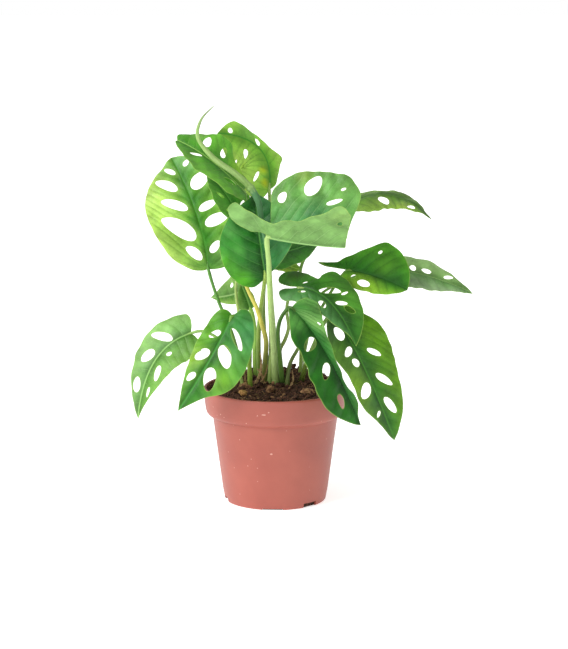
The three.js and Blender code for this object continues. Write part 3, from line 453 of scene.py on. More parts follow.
# Adds a node with its settings, and links or values for its inputs; a node stands for its first output
def add(tree, kind, inputs=None, **settings):
    made = tree.nodes.new("ShaderNode" + kind)
    for name, value in settings.items():
        setattr(made, name, value)
    for place, value in (inputs or {}).items():
        if isinstance(value, bpy.types.Node):
            value = value.outputs[0]
        if isinstance(value, bpy.types.NodeSocket):
            tree.links.new(value, made.inputs[place])
        else:
            made.inputs[place].default_value = value
    return made


# An empty material and its nodes
def new_finish(name):
    finish = bpy.data.materials.new(name)
    finish.use_nodes = True
    finish.node_tree.nodes.clear()
    return finish, finish.node_tree


# The operators act on this piece alone
def only_select(piece):
    bpy.ops.object.select_all(action="DESELECT")
    piece.select_set(True)
    bpy.context.view_layer.objects.active = piece


# Adds one more closed shape to the points and faces of a piece
def join_shape(points, faces, shape_points, shape_faces):
    first = len(points)
    points += list(shape_points)
    faces += [tuple(i + first for i in face) for face in shape_faces]


# A mesh piece from points in millimetres, smooth except where its faces turn by more than turn_at degrees
def piece_from(name, points, faces, finishes, face_finish=None, numbers=None, colours=None, turn_at=50):
    mesh = bpy.data.meshes.new(name)
    corners = [tuple(int(i) for i in face) for face in faces]
    mesh.from_pydata((np.asarray(points) * MM).tolist(), [], corners)
    for finish in finishes:
        mesh.materials.append(finish)
    if face_finish is not None:
        mesh.polygons.foreach_set("material_index", np.asarray(face_finish, np.int32))
    for label, values in (numbers or {}).items():
        layer = mesh.attributes.new(label, "FLOAT", "POINT")
        layer.data.foreach_set("value", np.asarray(values, np.float32))
    for label, values in (colours or {}).items():
        layer = mesh.attributes.new(label, "FLOAT_COLOR", "POINT")
        layer.data.foreach_set("color", np.asarray(values, np.float32).ravel())
    mesh.validate()
    mesh.update()
    piece = bpy.data.objects.new(name, mesh)
    bpy.context.scene.collection.objects.link(piece)
    only_select(piece)
    bpy.ops.object.shade_smooth_by_angle(angle=math.radians(turn_at))
    return piece


# ---- Finishes ----

# Living leaf: a thin waxy skin over soft green flesh. The eye gets a soft sheen, broken by sunken side
# veins with painted shade beside them and beside the rib, a net of fine veins, a thin pale margin, and a
# paler, duller underside.
def living_leaf():
    finish, tree = new_finish("living_leaf")
    place = add(tree, "TexCoord").outputs["Object"]
    labels = ("skin_colour", "vein_colour", "vein_count", "off_rib", "off_edge", "upper_side")
    skin, vein, count, off_rib, off_edge, upper = (
        add(tree, "Attribute", attribute_name=label) for label in labels
    )

    part = add(tree, "Math", {0: count.outputs["Fac"]}, operation="FRACT")
    middle = add(tree, "Math", {0: part, 1: 0.5}, operation="SUBTRACT")
    apart = add(tree, "Math", {0: middle}, operation="ABSOLUTE")
    near = add(tree, "Math", {0: 0.5, 1: apart}, operation="SUBTRACT")
    to_vein = add(tree, "Math", {0: near, 1: VEIN_SPACING}, operation="MULTIPLY")
    # Side veins are half a millimetre wide, barely lighter than the blade, and fade before the margin
    side_vein = add(tree, "MapRange", {
        "Value": to_vein, "From Min": 0.1, "From Max": 0.5, "To Min": 0.4, "To Max": 0.0,
    }, interpolation_type="SMOOTHSTEP")
    fade = add(tree, "MapRange", {"Value": off_edge.outputs["Fac"], "From Min": 1.0, "From Max": 8.0})
    side_line = add(tree, "Math", {0: side_vein, 1: fade}, operation="MULTIPLY")
    rib_line = add(tree, "MapRange", {
        "Value": off_rib.outputs["Fac"], "From Min": 0.4, "From Max": 1.0, "To Min": 0.85, "To Max": 0.0,
    }, interpolation_type="SMOOTHSTEP")
    lines = add(tree, "Math", {0: side_line, 1: rib_line}, operation="MAXIMUM")

    # Painted shade: the green is darker for some millimetres on either side of a vein and of the rib, where
    # the blade sinks into their grooves
    shade_by_vein = add(tree, "MapRange", {
        "Value": to_vein, "From Min": 0.2, "From Max": 3.0, "To Min": 0.9, "To Max": 1.0,
    }, interpolation_type="SMOOTHSTEP")
    shade_by_rib = add(tree, "MapRange", {
        "Value": off_rib.outputs["Fac"], "From Min": 0.5, "From Max": 6.0, "To Min": 0.76, "To Max": 1.0,
    }, interpolation_type="SMOOTHSTEP")
    shade_by_lines = add(tree, "Math", {0: shade_by_vein, 1: shade_by_rib}, operation="MULTIPLY")
    # Broad clouds of 12 to 20 mm and fine mottling of 3 mm in the green
    patches = add(tree, "TexNoise", {"Vector": place, "Scale": 62, "Detail": 3})
    cloud = add(tree, "MapRange", {
        "Value": patches.outputs["Fac"], "From Min": 0.34, "From Max": 0.66, "To Min": 0.62, "To Max": 1.12,
    })
    mottle = add(tree, "TexNoise", {"Vector": place, "Scale": 330, "Detail": 3}).outputs["Fac"]
    fine = add(tree, "Math", {0: mottle, 1: 0.22, 2: cloud}, operation="MULTIPLY_ADD")
    shade = add(tree, "Math", {0: fine, 1: shade_by_lines}, operation="MULTIPLY")
    varied = add(tree, "VectorMath", {0: skin.outputs["Color"], 3: shade}, operation="SCALE")
    # The net of fine veins has meshes of about 2.6 mm and only just shows
    net = add(tree, "TexVoronoi", {"Vector": place, "Scale": 380}, feature="DISTANCE_TO_EDGE")
    net_line = add(tree, "MapRange", {
        "Value": net.outputs["Distance"], "From Min": 0.02, "From Max": 0.12, "To Min": 0.1, "To Max": 0.0,
    })
    vein_colour = vein.outputs["Color"]
    netted = add(tree, "Mix", {0: net_line, 6: varied, 7: vein_colour}, data_type="RGBA")
    veined = add(tree, "Mix", {0: lines, 6: netted.outputs[2], 7: vein_colour}, data_type="RGBA")
    rim = add(tree, "MapRange", {
        "Value": off_edge.outputs["Fac"], "From Min": 0.1, "From Max": 0.7, "To Min": 0.4, "To Max": 0.0,
    })
    rimmed = add(tree, "Mix", {0: rim, 6: veined.outputs[2], 7: linear("#A9C95C")}, data_type="RGBA")

    gloss = add(tree, "MapRange", {"Value": upper.outputs["Fac"], "To Min": 0.64, "To Max": 0.38})
    rough = add(tree, "Math", {0: mottle, 1: 0.16, 2: gloss}, operation="MULTIPLY_ADD")
    relief = add(tree, "Math", {0: net_line, 1: -3.0, 2: mottle}, operation="MULTIPLY_ADD")
    bump = add(tree, "Bump", {"Height": relief, "Strength": 0.5, "Distance": 0.3 * MM})
    surface = add(tree, "BsdfPrincipled", {
        "Base Color": rimmed.outputs[2], "Roughness": rough, "Normal": bump, "IOR": 1.42,
        "Specular IOR Level": 0.38,
    })
    add(tree, "OutputMaterial", {"Surface": surface})
    return finish


# Leaf stalk: smooth living skin. The eye gets a satin green with faint streaks along it and soft blotches.
def leaf_stalk():
    finish, tree = new_finish("leaf_stalk")
    place = add(tree, "TexCoord").outputs["Object"]
    skin = add(tree, "Attribute", attribute_name="skin_colour")
    stretched = add(tree, "Mapping", {"Vector": place, "Scale": (1.0, 1.0, 0.08)})
    streaks = add(tree, "TexNoise", {"Vector": stretched, "Scale": 900, "Detail": 2}).outputs["Fac"]
    blotches = add(tree, "TexNoise", {"Vector": place, "Scale": 130, "Detail": 3}).outputs["Fac"]
    shade = add(tree, "Math", {0: streaks, 1: 0.35, 2: 0.6}, operation="MULTIPLY_ADD")
    both = add(tree, "Math", {0: blotches, 1: 0.4, 2: shade}, operation="MULTIPLY_ADD")
    varied = add(tree, "VectorMath", {0: skin.outputs["Color"], 3: both}, operation="SCALE")
    bump = add(tree, "Bump", {"Height": streaks, "Strength": 0.3, "Distance": 0.2 * MM})
    surface = add(tree, "BsdfPrincipled", {
        "Base Color": varied, "Roughness": 0.42, "Normal": bump, "IOR": 1.42,
    })
    add(tree, "OutputMaterial", {"Surface": surface})
    return finish


# Terracotta-coloured polypropylene, injection moulded: satin, with faint rings from the mould,
# a slightly uneven colour and a light dusting of lime scale from watering
def moulded_polypropylene():
    finish, tree = new_finish("moulded_polypropylene")
    place = add(tree, "TexCoord").outputs["Object"]
    clouds = add(tree, "TexNoise", {"Vector": place, "Scale": 28, "Detail": 4}).outputs["Fac"]
    grain = add(tree, "TexNoise", {"Vector": place, "Scale": 1500, "Detail": 2}).outputs["Fac"]
    heights = add(tree, "SeparateXYZ", {0: place})
    ring_at = add(tree, "CombineXYZ", {2: heights.outputs["Z"]})
    # Mould rings 2 to 4 mm apart
    rings = add(tree, "TexNoise", {"Vector": ring_at, "Scale": 420, "Detail": 2}).outputs["Fac"]
    tone = add(tree, "MapRange", {"Value": clouds, "From Min": 0.3, "From Max": 0.7})
    base = add(tree, "Mix", {0: tone, 6: linear("#9A4E41"), 7: linear("#A8594A")}, data_type="RGBA")
    # One in seven of the 5 mm cells holds a speck
    specks = add(tree, "TexVoronoi", {"Vector": place, "Scale": 210})
    speck_mask = add(tree, "MapRange", {
        "Value": specks, "From Min": 0.04, "From Max": 0.13, "To Min": 0.4, "To Max": 0.0,
    })
    chosen = add(tree, "SeparateColor", {0: specks.outputs["Color"]})
    few = add(tree, "Math", {0: chosen, 1: 0.86}, operation="GREATER_THAN")
    speck = add(tree, "Math", {0: speck_mask, 1: few}, operation="MULTIPLY")
    dusty = add(tree, "Mix", {0: speck, 6: base.outputs[2], 7: linear("#E4BFAE")}, data_type="RGBA")
    rough = add(tree, "Math", {0: clouds, 1: 0.18, 2: 0.36}, operation="MULTIPLY_ADD")
    relief = add(tree, "Math", {0: rings, 1: 0.6, 2: grain}, operation="MULTIPLY_ADD")
    bump = add(tree, "Bump", {"Height": relief, "Strength": 0.22, "Distance": 0.3 * MM})
    surface = add(tree, "BsdfPrincipled", {
        "Base Color": dusty.outputs[2], "Roughness": rough, "Normal": bump, "IOR": 1.49,
    })
    add(tree, "OutputMaterial", {"Surface": surface})
    return finish


# Rough, dry or moist plant matter, or a dry crust: two tones mottled by the millimetre, without any gloss
def mottled(name, dark, bright, grain_mm, roughness, bump_mm):
    finish, tree = new_finish(name)
    place = add(tree, "TexCoord").outputs["Object"]
    coarse = add(tree, "TexNoise", {
        "Vector": place, "Scale": 1 / (grain_mm * MM), "Detail": 5, "Roughness": 0.65,
    }).outputs["Fac"]
    share = add(tree, "MapRange", {"Value": coarse, "From Min": 0.35, "From Max": 0.68})
    hue = add(tree, "Mix", {0: share, 6: linear(dark), 7: linear(bright)}, data_type="RGBA")
    bump = add(tree, "Bump", {"Height": coarse, "Strength": 0.9, "Distance": bump_mm * MM})
    surface = add(tree, "BsdfPrincipled", {
        "Base Color": hue.outputs[2], "Roughness": roughness, "Normal": bump, "IOR": 1.4,
    })
    add(tree, "OutputMaterial", {"Surface": surface})
    return finish


# Matt white paper: the floor under the pot, lit up until it is as white as the tent round it
def floor_paper():
    finish, tree = new_finish("floor_paper")
    surface = add(tree, "BsdfPrincipled", {
        "Base Color": linear("#FFFFFF"), "Roughness": 1.0, "Specular IOR Level": 0.0,
        "Emission Color": linear("#FFFFFF"), "Emission Strength": 0.6,
    })
    add(tree, "OutputMaterial", {"Surface": surface})
    return finish


LIVING_LEAF = living_leaf()
LEAF_STALK = leaf_stalk()
POLYPROPYLENE = moulded_polypropylene()
# Moist peat is nearly black with redder crumbs; loose crumbs have dried lighter
MOIST_PEAT = mottled("moist_peat", "#1E100B", "#63402F", 2.4, 0.92, 0.8)
PEAT_CRUMB = mottled("peat_crumb", "#2E1A12", "#7A5340", 2.0, 0.95, 0.3)
PINE_BARK = mottled("pine_bark", "#6A4630", "#B58A62", 2.5, 0.85, 0.3)
PALE_CHIP = mottled("pale_chip", "#96683A", "#D2A468", 2.0, 0.85, 0.2)
COIR = mottled("coir_fibre", "#6A4830", "#AC8862", 1.5, 0.8, 0.1)
# A fleck of lime scale lets the pot's colour through, so it looks pinkish
LIME_SCALE = mottled("lime_scale", "#BE8576", "#D8AA9C", 0.8, 0.8, 0.05)
DRY_SHEATH = mottled("dry_leaf_sheath", "#7A5C3A", "#C7A377", 3.0, 0.7, 0.2)


# ---- Leaf blades ----

# The blade's middle surface: a rib through joint, middle and tip, and two halves that leave it sideways
def blade_shape(leaf):
    joint, middle, tip = (np.array(leaf[k], float) for k in ("joint", "middle", "tip"))
    control = 2 * middle - (joint + tip) / 2

    def rib(t):
        t = np.asarray(t, float)[..., None]
        return (1 - t) ** 2 * joint + 2 * t * (1 - t) * control + t ** 2 * tip

    def pace(t):
        t = np.asarray(t, float)[..., None]
        return 2 * (1 - t) * (control - joint) + 2 * t * (tip - control)

    heading = unit(pace(WIDEST))
    sides = {half: np.array(leaf[half], float) - rib(WIDEST) for half in ("left", "right")}

    # A place on a half: along the rib from joint to tip, across from rib to margin, both as shares
    def on_half(half, along, across):
        t = np.clip(along, 0, 1)
        forward = unit(pace(t))
        axle = np.cross(heading, forward)
        side = sides[half] + np.cross(axle, sides[half])
        side = side + np.cross(axle, np.cross(axle, sides[half])) / (1 + forward @ heading)[:, None]
        up = np.cross(pace(t), side) if half == "left" else np.cross(side, pace(t))
        ripple = leaf["wave"] * np.sin(2 * np.pi * (WAVES * along + WAVE_START[half])) * across ** 2
        place = rib(t) + (along - t)[:, None] * pace(t) + across[:, None] * side
        return place + unit(up) * ripple[:, None]

    # Straight up from a half, from its slope along and across
    def up_on(half, along, across):
        step = 0.01
        ahead = on_half(half, along + step, across) - on_half(half, along - step, across)
        outward = on_half(half, along, across + step) - on_half(half, along, np.maximum(0, across - step))
        return unit(np.cross(ahead, outward) if half == "left" else np.cross(outward, ahead))

    # Straight up from the rib, evenly between the halves
    def rib_up(along):
        return unit(up_on("left", along, 0 * along) + up_on("right", along, 0 * along))

    length = float(reach_along(rib(np.linspace(0, 1, 200)))[-1])
    widths = {half: float(np.linalg.norm(sides[half])) for half in sides}
    return dict(rib=rib, rib_up=rib_up, on_half=on_half, up_on=up_on, length=length, widths=widths)


# A half's own outline, or the common one with its base lobe and its fullness towards the tip changed
def edge_of(leaf, half):
    if leaf[half + "_edge"]:
        return leaf[half + "_edge"]
    k = 0 if half == "left" else 1
    lobe, full = leaf["lobe"][k], leaf["full"][k]
    return [(t * lobe if t < 0 else t, s ** (1 / full) if t > WIDEST else s) for t, s in BLADE_EDGE]


# The outline as a smooth line through its knots, laid flat in millimetres
def margin_line(edge, length, width):
    knots = np.array(edge, float) * (length, width)
    line = []
    for i in range(len(knots) - 1):
        before, here, there, after = (knots[min(max(j, 0), len(knots) - 1)] for j in range(i - 1, i + 3))
        leave, arrive = (there - before) / 2, (after - here) / 2
        for w in np.linspace(0, 1, 14, endpoint=False):
            bend = (2 * here - 2 * there + leave + arrive) * w ** 3
            line.append(bend + (-3 * here + 3 * there - 2 * leave - arrive) * w ** 2 + leave * w + here)
    return spaced(line + [knots[-1]], GRAIN)


# An oval hole, a little narrower at its outer end
def hole_line(hole, length, width):
    along, across, long, wide, degrees = hole
    angle = np.linspace(0, 2 * np.pi, max(14, round(long * 2.2 / GRAIN)), endpoint=False)
    oval = np.stack([long / 2 * np.cos(angle), wide / 2 * np.sin(angle) * (1 - 0.16 * np.cos(angle))], 1)
    c, s = math.cos(math.radians(degrees)), math.sin(math.radians(degrees))
    return oval @ np.array([[c, s], [-s, c]]) + (along * length, across * width)


# Which points lie inside a closed flat line
def inside(points, loop):
    found = np.zeros(len(points), bool)
    for a, b in zip(loop, np.roll(loop, -1, axis=0)):
        crosses = (a[1] > points[:, 1]) != (b[1] > points[:, 1])
        where = (b[0] - a[0]) * (points[:, 1] - a[1]) / (b[1] - a[1] if b[1] != a[1] else 1e-9) + a[0]
        found ^= crosses & (points[:, 0] < where)
    return found


# How far each point is from the nearest of many short straight lines
def distance_to(points, starts, ends):
    run = ends - starts
    apart = points[:, None] - starts[None]
    share = np.clip((apart * run).sum(2) / np.maximum((run * run).sum(1), 1e-9), 0, 1)
    return np.sqrt((((apart - share[..., None] * run) ** 2).sum(2)).min(1))


# Counts side veins from the stalk to the tip: whole numbers lie on a vein, and each hole midway between two
def vein_count(flat, width, holes, length):
    # The count before the holes are heeded; behind the stalk the veins fan out
    def raw(xy):
        x, y = xy[:, 0], np.maximum(xy[:, 1], 0)
        bow = VEIN_BOW * y ** 2 / width
        lean = x - VEIN_SLANT * y - bow
        fan = np.arctan2(y, x - bow) - math.atan2(1, VEIN_SLANT)
        return np.where(lean >= 0, lean, -np.maximum(fan, 0) * 0.55 * width) / VEIN_SPACING

    counted = raw(flat)
    if not holes:
        return counted
    centres = np.sort(raw(np.array([(h[0] * length, h[1] * width) for h in holes])))
    wanted = []
    for centre in centres:
        place = math.floor(centre) + 0.5
        if wanted and place <= wanted[-1]:
            place = wanted[-1] + (1 if centre - centres[len(wanted) - 1] > 0.45 else 0.02)
        wanted.append(place)
    centres = np.concatenate([[centres[0] - 10], centres, [centres[-1] + 10]])
    wanted = np.concatenate([[wanted[0] - 10], wanted, [wanted[-1] + 10]])
    return np.interp(counted, centres, wanted)


# One half of a blade laid flat and cut into small triangles round its holes
def flat_half(leaf, shape, half):
    length, width = shape["length"], shape["widths"][half]
    margin = margin_line(edge_of(leaf, half), length, width)
    rib_stops = np.linspace(length, 0, round(length / GRAIN) + 1)
    rib = np.stack([rib_stops, np.zeros(len(rib_stops))], 1)
    contour = np.concatenate([rib, margin[1:-1]])
    holes = [hole_line(hole, length, width) for hole in leaf[half + "_holes"]]
    loops = [contour, *holes]
    starts = np.concatenate([margin[:-1], *holes])
    ends = np.concatenate([margin[1:], *[np.roll(hole, -1, axis=0) for hole in holes]])

    # Rows of points over the whole half, each row shifted by half a step from the last, and rows by the rib
    dice = np.random.default_rng(len(margin) + len(holes))
    low, high = contour.min(0), contour.max(0)
    rows = []
    for k, y in enumerate(np.arange(RIB_ROWS[-1] + GRAIN, high[1], GRAIN * 0.87)):
        x = np.arange(low[0], high[0], GRAIN) + (k % 2) * GRAIN / 2
        rows.append(np.stack([x, np.full(len(x), y)], 1) + dice.uniform(-0.12, 0.12, (len(x), 2)))
    for k, y in enumerate(RIB_ROWS):
        x = rib_stops + (k % 2) * GRAIN / 2
        rows.append(np.stack([x, np.full(len(x), y)], 1))
    grid = np.concatenate(rows)
    grid = grid[inside(grid, contour)]
    for hole in holes:
        grid = grid[~inside(grid, hole)]
    grid = grid[distance_to(grid, starts, ends) > 0.55 * GRAIN]

    links, first = [], 0
    for loop in loops:
        count = len(loop)
        links += [(first + i, first + (i + 1) % count) for i in range(count)]
        first += count
    cut = delaunay_2d_cdt([Vector(p) for p in np.concatenate([*loops, grid])], links, [], 0, 1e-5, False)
    flat = np.array([tuple(p) for p in cut[0]])
    faces = np.array([tuple(face) for face in cut[2]])
    centres = flat[faces].mean(1)
    kept = inside(centres, contour)
    for hole in holes:
        kept &= ~inside(centres, hole)
    faces = faces[kept]
    p, q, r = (flat[faces[:, k]] for k in range(3))
    area = (q - p)[:, 0] * (r - p)[:, 1] - (q - p)[:, 1] * (r - p)[:, 0]
    faces[area < 0] = faces[area < 0][:, ::-1]
    return flat, faces, distance_to(flat, starts, ends)


# A half's colours: deep by the rib, light towards the margin, with its own patches
def painted(leaf, half, flat, length, width, off_edge):
    across = np.clip(flat[:, 1] / width, 0, 1)
    share = 0.75 * smooth(0.02, 0.75, across) + 0.25 * (1 - smooth(0, 7, off_edge))
    paint = toward(np.array(linear(leaf["deep"][half])), leaf["light"][half], share[:, None])
    for at_along, at_across, reach, hue, strength in leaf[half + "_patches"]:
        gap = np.hypot(flat[:, 0] - at_along * length, flat[:, 1] - at_across * width)
        paint = toward(paint, hue, strength * (1 - smooth(0, reach, gap))[:, None])
    return paint


# One half in space: its points above and below, its faces, and what the finish reads at each point
def shaped_half(leaf, shape, half):
    length, width = shape["length"], shape["widths"][half]
    flat, faces, off_edge = flat_half(leaf, shape, half)
    along, across = flat[:, 0] / length, flat[:, 1] / width
    on_rib = (np.abs(flat[:, 1]) < 1e-4) & (along > -1e-6) & (along < 1 + 1e-6)
    middle = shape["on_half"](half, along, across)
    up = shape["up_on"](half, along, across)
    up[on_rib] = shape["rib_up"](along)[on_rib]

    count = vein_count(flat, width, leaf[half + "_holes"], length)
    off_rib = np.where(along < 0, np.hypot(flat[:, 0], flat[:, 1]), np.abs(flat[:, 1]))
    to_vein = (0.5 - np.abs(count % 1 - 0.5)) * VEIN_SPACING
    calm = smooth(0, 5, off_rib) * (0.35 + 0.65 * smooth(0, 6, off_edge))
    quilt = QUILT * leaf["bulge"] * np.sin(np.pi * (count % 1)) ** 0.9 * calm
    groove = VEIN_GROOVE * leaf["bulge"] * hump(to_vein, 0.8) * calm + RIB_GROOVE * hump(off_rib, 0.8)
    arch = ARCH * width * np.clip(across, 0, 1) * np.clip(1 - across, 0, 1)
    crimp = CRIMP * np.sin(flat[:, 0] / CRIMP_LENGTH + width) * smooth(0.55, 1, across)
    lumps = np.array([noise.noise(Vector(p) * LUMP_SCALE) for p in middle])
    lumps = lumps * leaf["lumps"] * smooth(0, 4, off_rib)
    lift = quilt - groove + arch + crimp + lumps
    thick = HALF_THICK_AT_EDGE + (HALF_THICK - HALF_THICK_AT_EDGE) * smooth(0, 1.5, off_edge)
    ridge = RIB_RIDGE * np.clip(1.15 - along, 0.15, 1) * hump(off_rib, 0.9) * smooth(0, 1.5, off_edge)
    ridge = ridge + VEIN_RIDGE * hump(to_vein, 0.6) * calm
    rib_keys = [round(x, 3) if here else None for x, here in zip(flat[:, 0], on_rib)]
    facts = np.stack([count, off_rib, off_edge], axis=1)
    return dict(
        faces=faces, rib_keys=rib_keys, facts=facts,
        top=middle + up * (lift + thick)[:, None], bottom=middle + up * (lift - thick - ridge)[:, None],
        paint=painted(leaf, half, flat, length, width, off_edge),
    )


# Both halves joined along the rib, above and below, and closed by a wall round margin and holes
def blade(leaf, shape):
    top, bottom, facts, paints, upper = [], [], [], [], []
    rib_places = {}
    for half in ("left", "right"):
        made = shaped_half(leaf, shape, half)
        places = []
        for i, key in enumerate(made["rib_keys"]):
            if half == "right" and key in rib_places:
                places.append(rib_places[key])
                continue
            if key is not None:
                rib_places[key] = len(top)
            places.append(len(top))
            top.append(made["top"][i])
            bottom.append(made["bottom"][i])
            facts.append(made["facts"][i])
            paints.append(made["paint"][i])
        turned = np.array(places)[made["faces"]]
        upper.append(turned if half == "left" else turned[:, ::-1])
    upper = np.concatenate(upper)
    below = len(top)
    sides = dict.fromkeys(edge for a, b, c in upper for edge in ((a, b), (b, c), (c, a)))
    wall = []
    for a, b in sides:
        if (b, a) not in sides:
            wall += [(b, a, below + a), (b, below + a, below + b)]
    faces = np.concatenate([upper, (upper + below)[:, ::-1], np.array(wall)])
    numbers = dict(zip(("vein_count", "off_rib", "off_edge"), np.tile(np.array(facts).T, 2)))
    numbers["upper_side"] = np.repeat([1.0, 0.0], below)
    paints = np.array(paints)
    paints = np.concatenate([paints, toward(paints, leaf["under"], 0.75)])
    return np.array(top + bottom), faces, numbers, paints


# ---- Stalks ----

# A smooth curve through the places, as the CAD has it, and how far through the places each point is
def stalk_line(places, per_span):
    places = [np.array(p, float) for p in places]
    ends = [2 * places[0] - places[1], *places, 2 * places[-1] - places[-2]]
    points, stops = [], []
    for i in range(len(places) - 1):
        p0, p1, p2, p3 = ends[i:i + 4]
        d0, d1, d2 = (np.linalg.norm(q - p) ** 0.5 for p, q in ((p0, p1), (p1, p2), (p2, p3)))
        leave = ((p1 - p0) / d0 - (p2 - p0) / (d0 + d1) + (p2 - p1) / d1) * d1
        arrive = ((p2 - p1) / d1 - (p3 - p1) / (d1 + d2) + (p3 - p2) / d2) * d1
        for w in np.linspace(0, 1, per_span, endpoint=i == len(places) - 2):
            bend = (2 * p1 - 2 * p2 + leave + arrive) * w ** 3
            points.append(bend + (-3 * p1 + 3 * p2 - 2 * leave - arrive) * w ** 2 + leave * w + p1)
            stops.append((i + w) / (len(places) - 1))
    return np.array(points), np.array(stops)


# The same curve in even steps: its points, how far along each is, and where the places come on it
def even_line(places, step):
    rough, stops = stalk_line(places, 24)
    line = spaced(rough, step)
    walked = reach_along(rough)
    return line, np.linspace(0, walked[-1], len(line)), walked, stops


# Every stalk widens over its lowest part
def foot_flare(gone):
    return FLARE * np.exp(-(np.maximum(gone - FLARE_HEIGHT, 0) / FLARE_HEIGHT))


# A closed tube along a line; shape_at gives the radius for a ring and an angle
def tube(line, sides, shape_at):
    normal = np.array([1.0, 0, 0])
    points, faces = [line[0]], []
    for i, centre in enumerate(line):
        ahead = unit(line[min(i + 1, len(line) - 1)] - line[max(i - 1, 0)])
        normal = unit(normal - ahead * (normal @ ahead))
        other = np.cross(ahead, normal)
        for j in range(sides):
            angle = 2 * math.pi * j / sides
            outward = normal * math.cos(angle) + other * math.sin(angle)
            points.append(centre + shape_at(i, angle) * outward)
    points.append(line[-1])
    last = len(points) - 1
    top = last - sides
    for j in range(sides):
        following = (j + 1) % sides
        faces.append((0, 1 + following, 1 + j))
        for i in range(len(line) - 1):
            low, high = 1 + i * sides, 1 + (i + 1) * sides
            faces.append((low + j, low + following, high + following, high + j))
        faces.append((last, top + j, top + following))
    return np.array(points), faces


# A stalk is round with a shallow channel. It swells at the joint below the blade and widens at its foot.
def stalk(leaf, shape):
    reach = np.array([STALK_REACH])
    last = shape["rib"](reach)[0] - STALK_BELOW_BLADE * shape["rib_up"](reach)[0]
    line, gone, walked, stops = even_line([*leaf["stalk"], leaf["joint"], last], STALK_STEP)
    share = np.interp(gone, walked, stops)
    foot, head = leaf["thick"]
    joint_at = np.interp(len(leaf["stalk"]) / (len(leaf["stalk"]) + 1), stops, walked)
    swell = JOINT_SWELL * hump(gone - joint_at + 5, 4.5)
    taper = 1 - 0.45 * smooth(joint_at, walked[-1], gone)
    radius = (foot + (head - foot) * share) * (1 + swell + foot_flare(gone)) * taper

    def radius_at(ring, angle):
        return radius[ring] * (1 - CHANNEL * hump(angle - math.pi, 0.5))

    points, faces = tube(line, STALK_SIDES, radius_at)
    along = np.concatenate([[0], np.repeat(gone / gone[-1], STALK_SIDES), [1]])
    tones = [linear(tone) for tone in leaf["stalk_colours"]]
    tones_at = np.linspace(0.04, 0.7, len(tones))
    paints = np.stack([np.interp(along, tones_at, channel) for channel in np.transpose(tones)], axis=1)
    return points, faces, paints


# A whole leaf in place of the CAD's: its blade and its stalk
def grow_leaf(leaf):
    shape = blade_shape(leaf)
    blade_points, blade_faces, numbers, paints = blade(leaf, shape)
    stem_points, stem_faces, stem_paints = stalk(leaf, shape)
    points, faces = list(blade_points), [tuple(face) for face in blade_faces]
    join_shape(points, faces, stem_points, stem_faces)
    finish_of = [0] * len(blade_faces) + [1] * len(stem_faces)
    numbers = {label: [*values, *[NO_VEIN] * len(stem_points)] for label, values in numbers.items()}
    colours = {
        "skin_colour": np.concatenate([paints, stem_paints]),
        "vein_colour": np.tile(np.array(linear(leaf["vein"])), (len(points), 1)),
    }
    piece = piece_from(leaf["piece"], points, faces, [LIVING_LEAF, LEAF_STALK], finish_of, numbers, colours)
    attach(piece, "root")
    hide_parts(leaf["name"])


# ---- The rolled young leaf ----

# Its colour where it is so many places along and so far round from the edge that laps over. The dark
# blue-green up the stalk below the ring is partly painted shade from the leaves over it, and the dark strip
# just under the lapping edge is painted shade.
def young_green_and_shade(here, turn, rolled):
    green = toward(np.array(linear("#A8C070")), "#4E8250", smooth(0.5, 3.6, here))
    green = toward(green, "#8EB45E", smooth(RING_AT - 0.6, RING_AT + 0.3, here))
    if here > RING_AT - 0.4:
        streak = 0.5 + 0.5 * math.sin(turn * 40)
        green = toward(green, "#B8D48C", 0.3 * streak)
        blush = smooth(0.0, 0.12, turn) * (1 - smooth(0.3, 0.5, turn)) * (1 - smooth(7, 9, here))
        green = toward(green, "#A9B488", 0.2 * blush)
    green = toward(green, "#7E8A6A", 0.7 * smooth(9.2, 10.6, here))
    # Painted shade: darker in the groove just under the lapping edge
    return green * (1 - 0.35 * hump(turn - 0.99, 0.03) * rolled)


# A leaf still rolled up: from its ring upwards one edge laps over the other in a slow spiral
def roll_young_leaf():
    line, gone, walked, stops = even_line([p["at"] for p in ROLLED_LEAF], ROLL_STEP)
    last = len(ROLLED_LEAF) - 1
    at = np.interp(gone, walked, stops) * last
    radius = np.interp(at, range(last + 1), [p["radius"] for p in ROLLED_LEAF])
    radius = radius * (1 + 0.22 * hump(at - RING_AT, 0.1)) * (1 + foot_flare(gone))
    rolled = smooth(RING_AT - 0.3, RING_AT + 0.6, at)
    lap = 1.0 + 5.5 * smooth(RING_AT, last, at)

    def turn_at(ring, angle):
        return ((angle - lap[ring]) / (2 * math.pi)) % 1

    def radius_at(ring, angle):
        return radius[ring] * (1 + 0.2 * rolled[ring] * (0.5 - turn_at(ring, angle)))

    points, faces = tube(line, ROLL_SIDES, radius_at)
    hue = [
        young_green_and_shade(here, turn_at(ring, 2 * math.pi * j / ROLL_SIDES), rolled[ring])
        for ring, here in enumerate(at)
        for j in range(ROLL_SIDES)
    ]
    hue = np.array([hue[0], *hue, hue[-1]])
    piece = piece_from("rolled_young_leaf", points, faces, [LEAF_STALK], colours={"skin_colour": hue})
    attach(piece, "root")
    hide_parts("rolled_leaf")


# ---- Pot ----

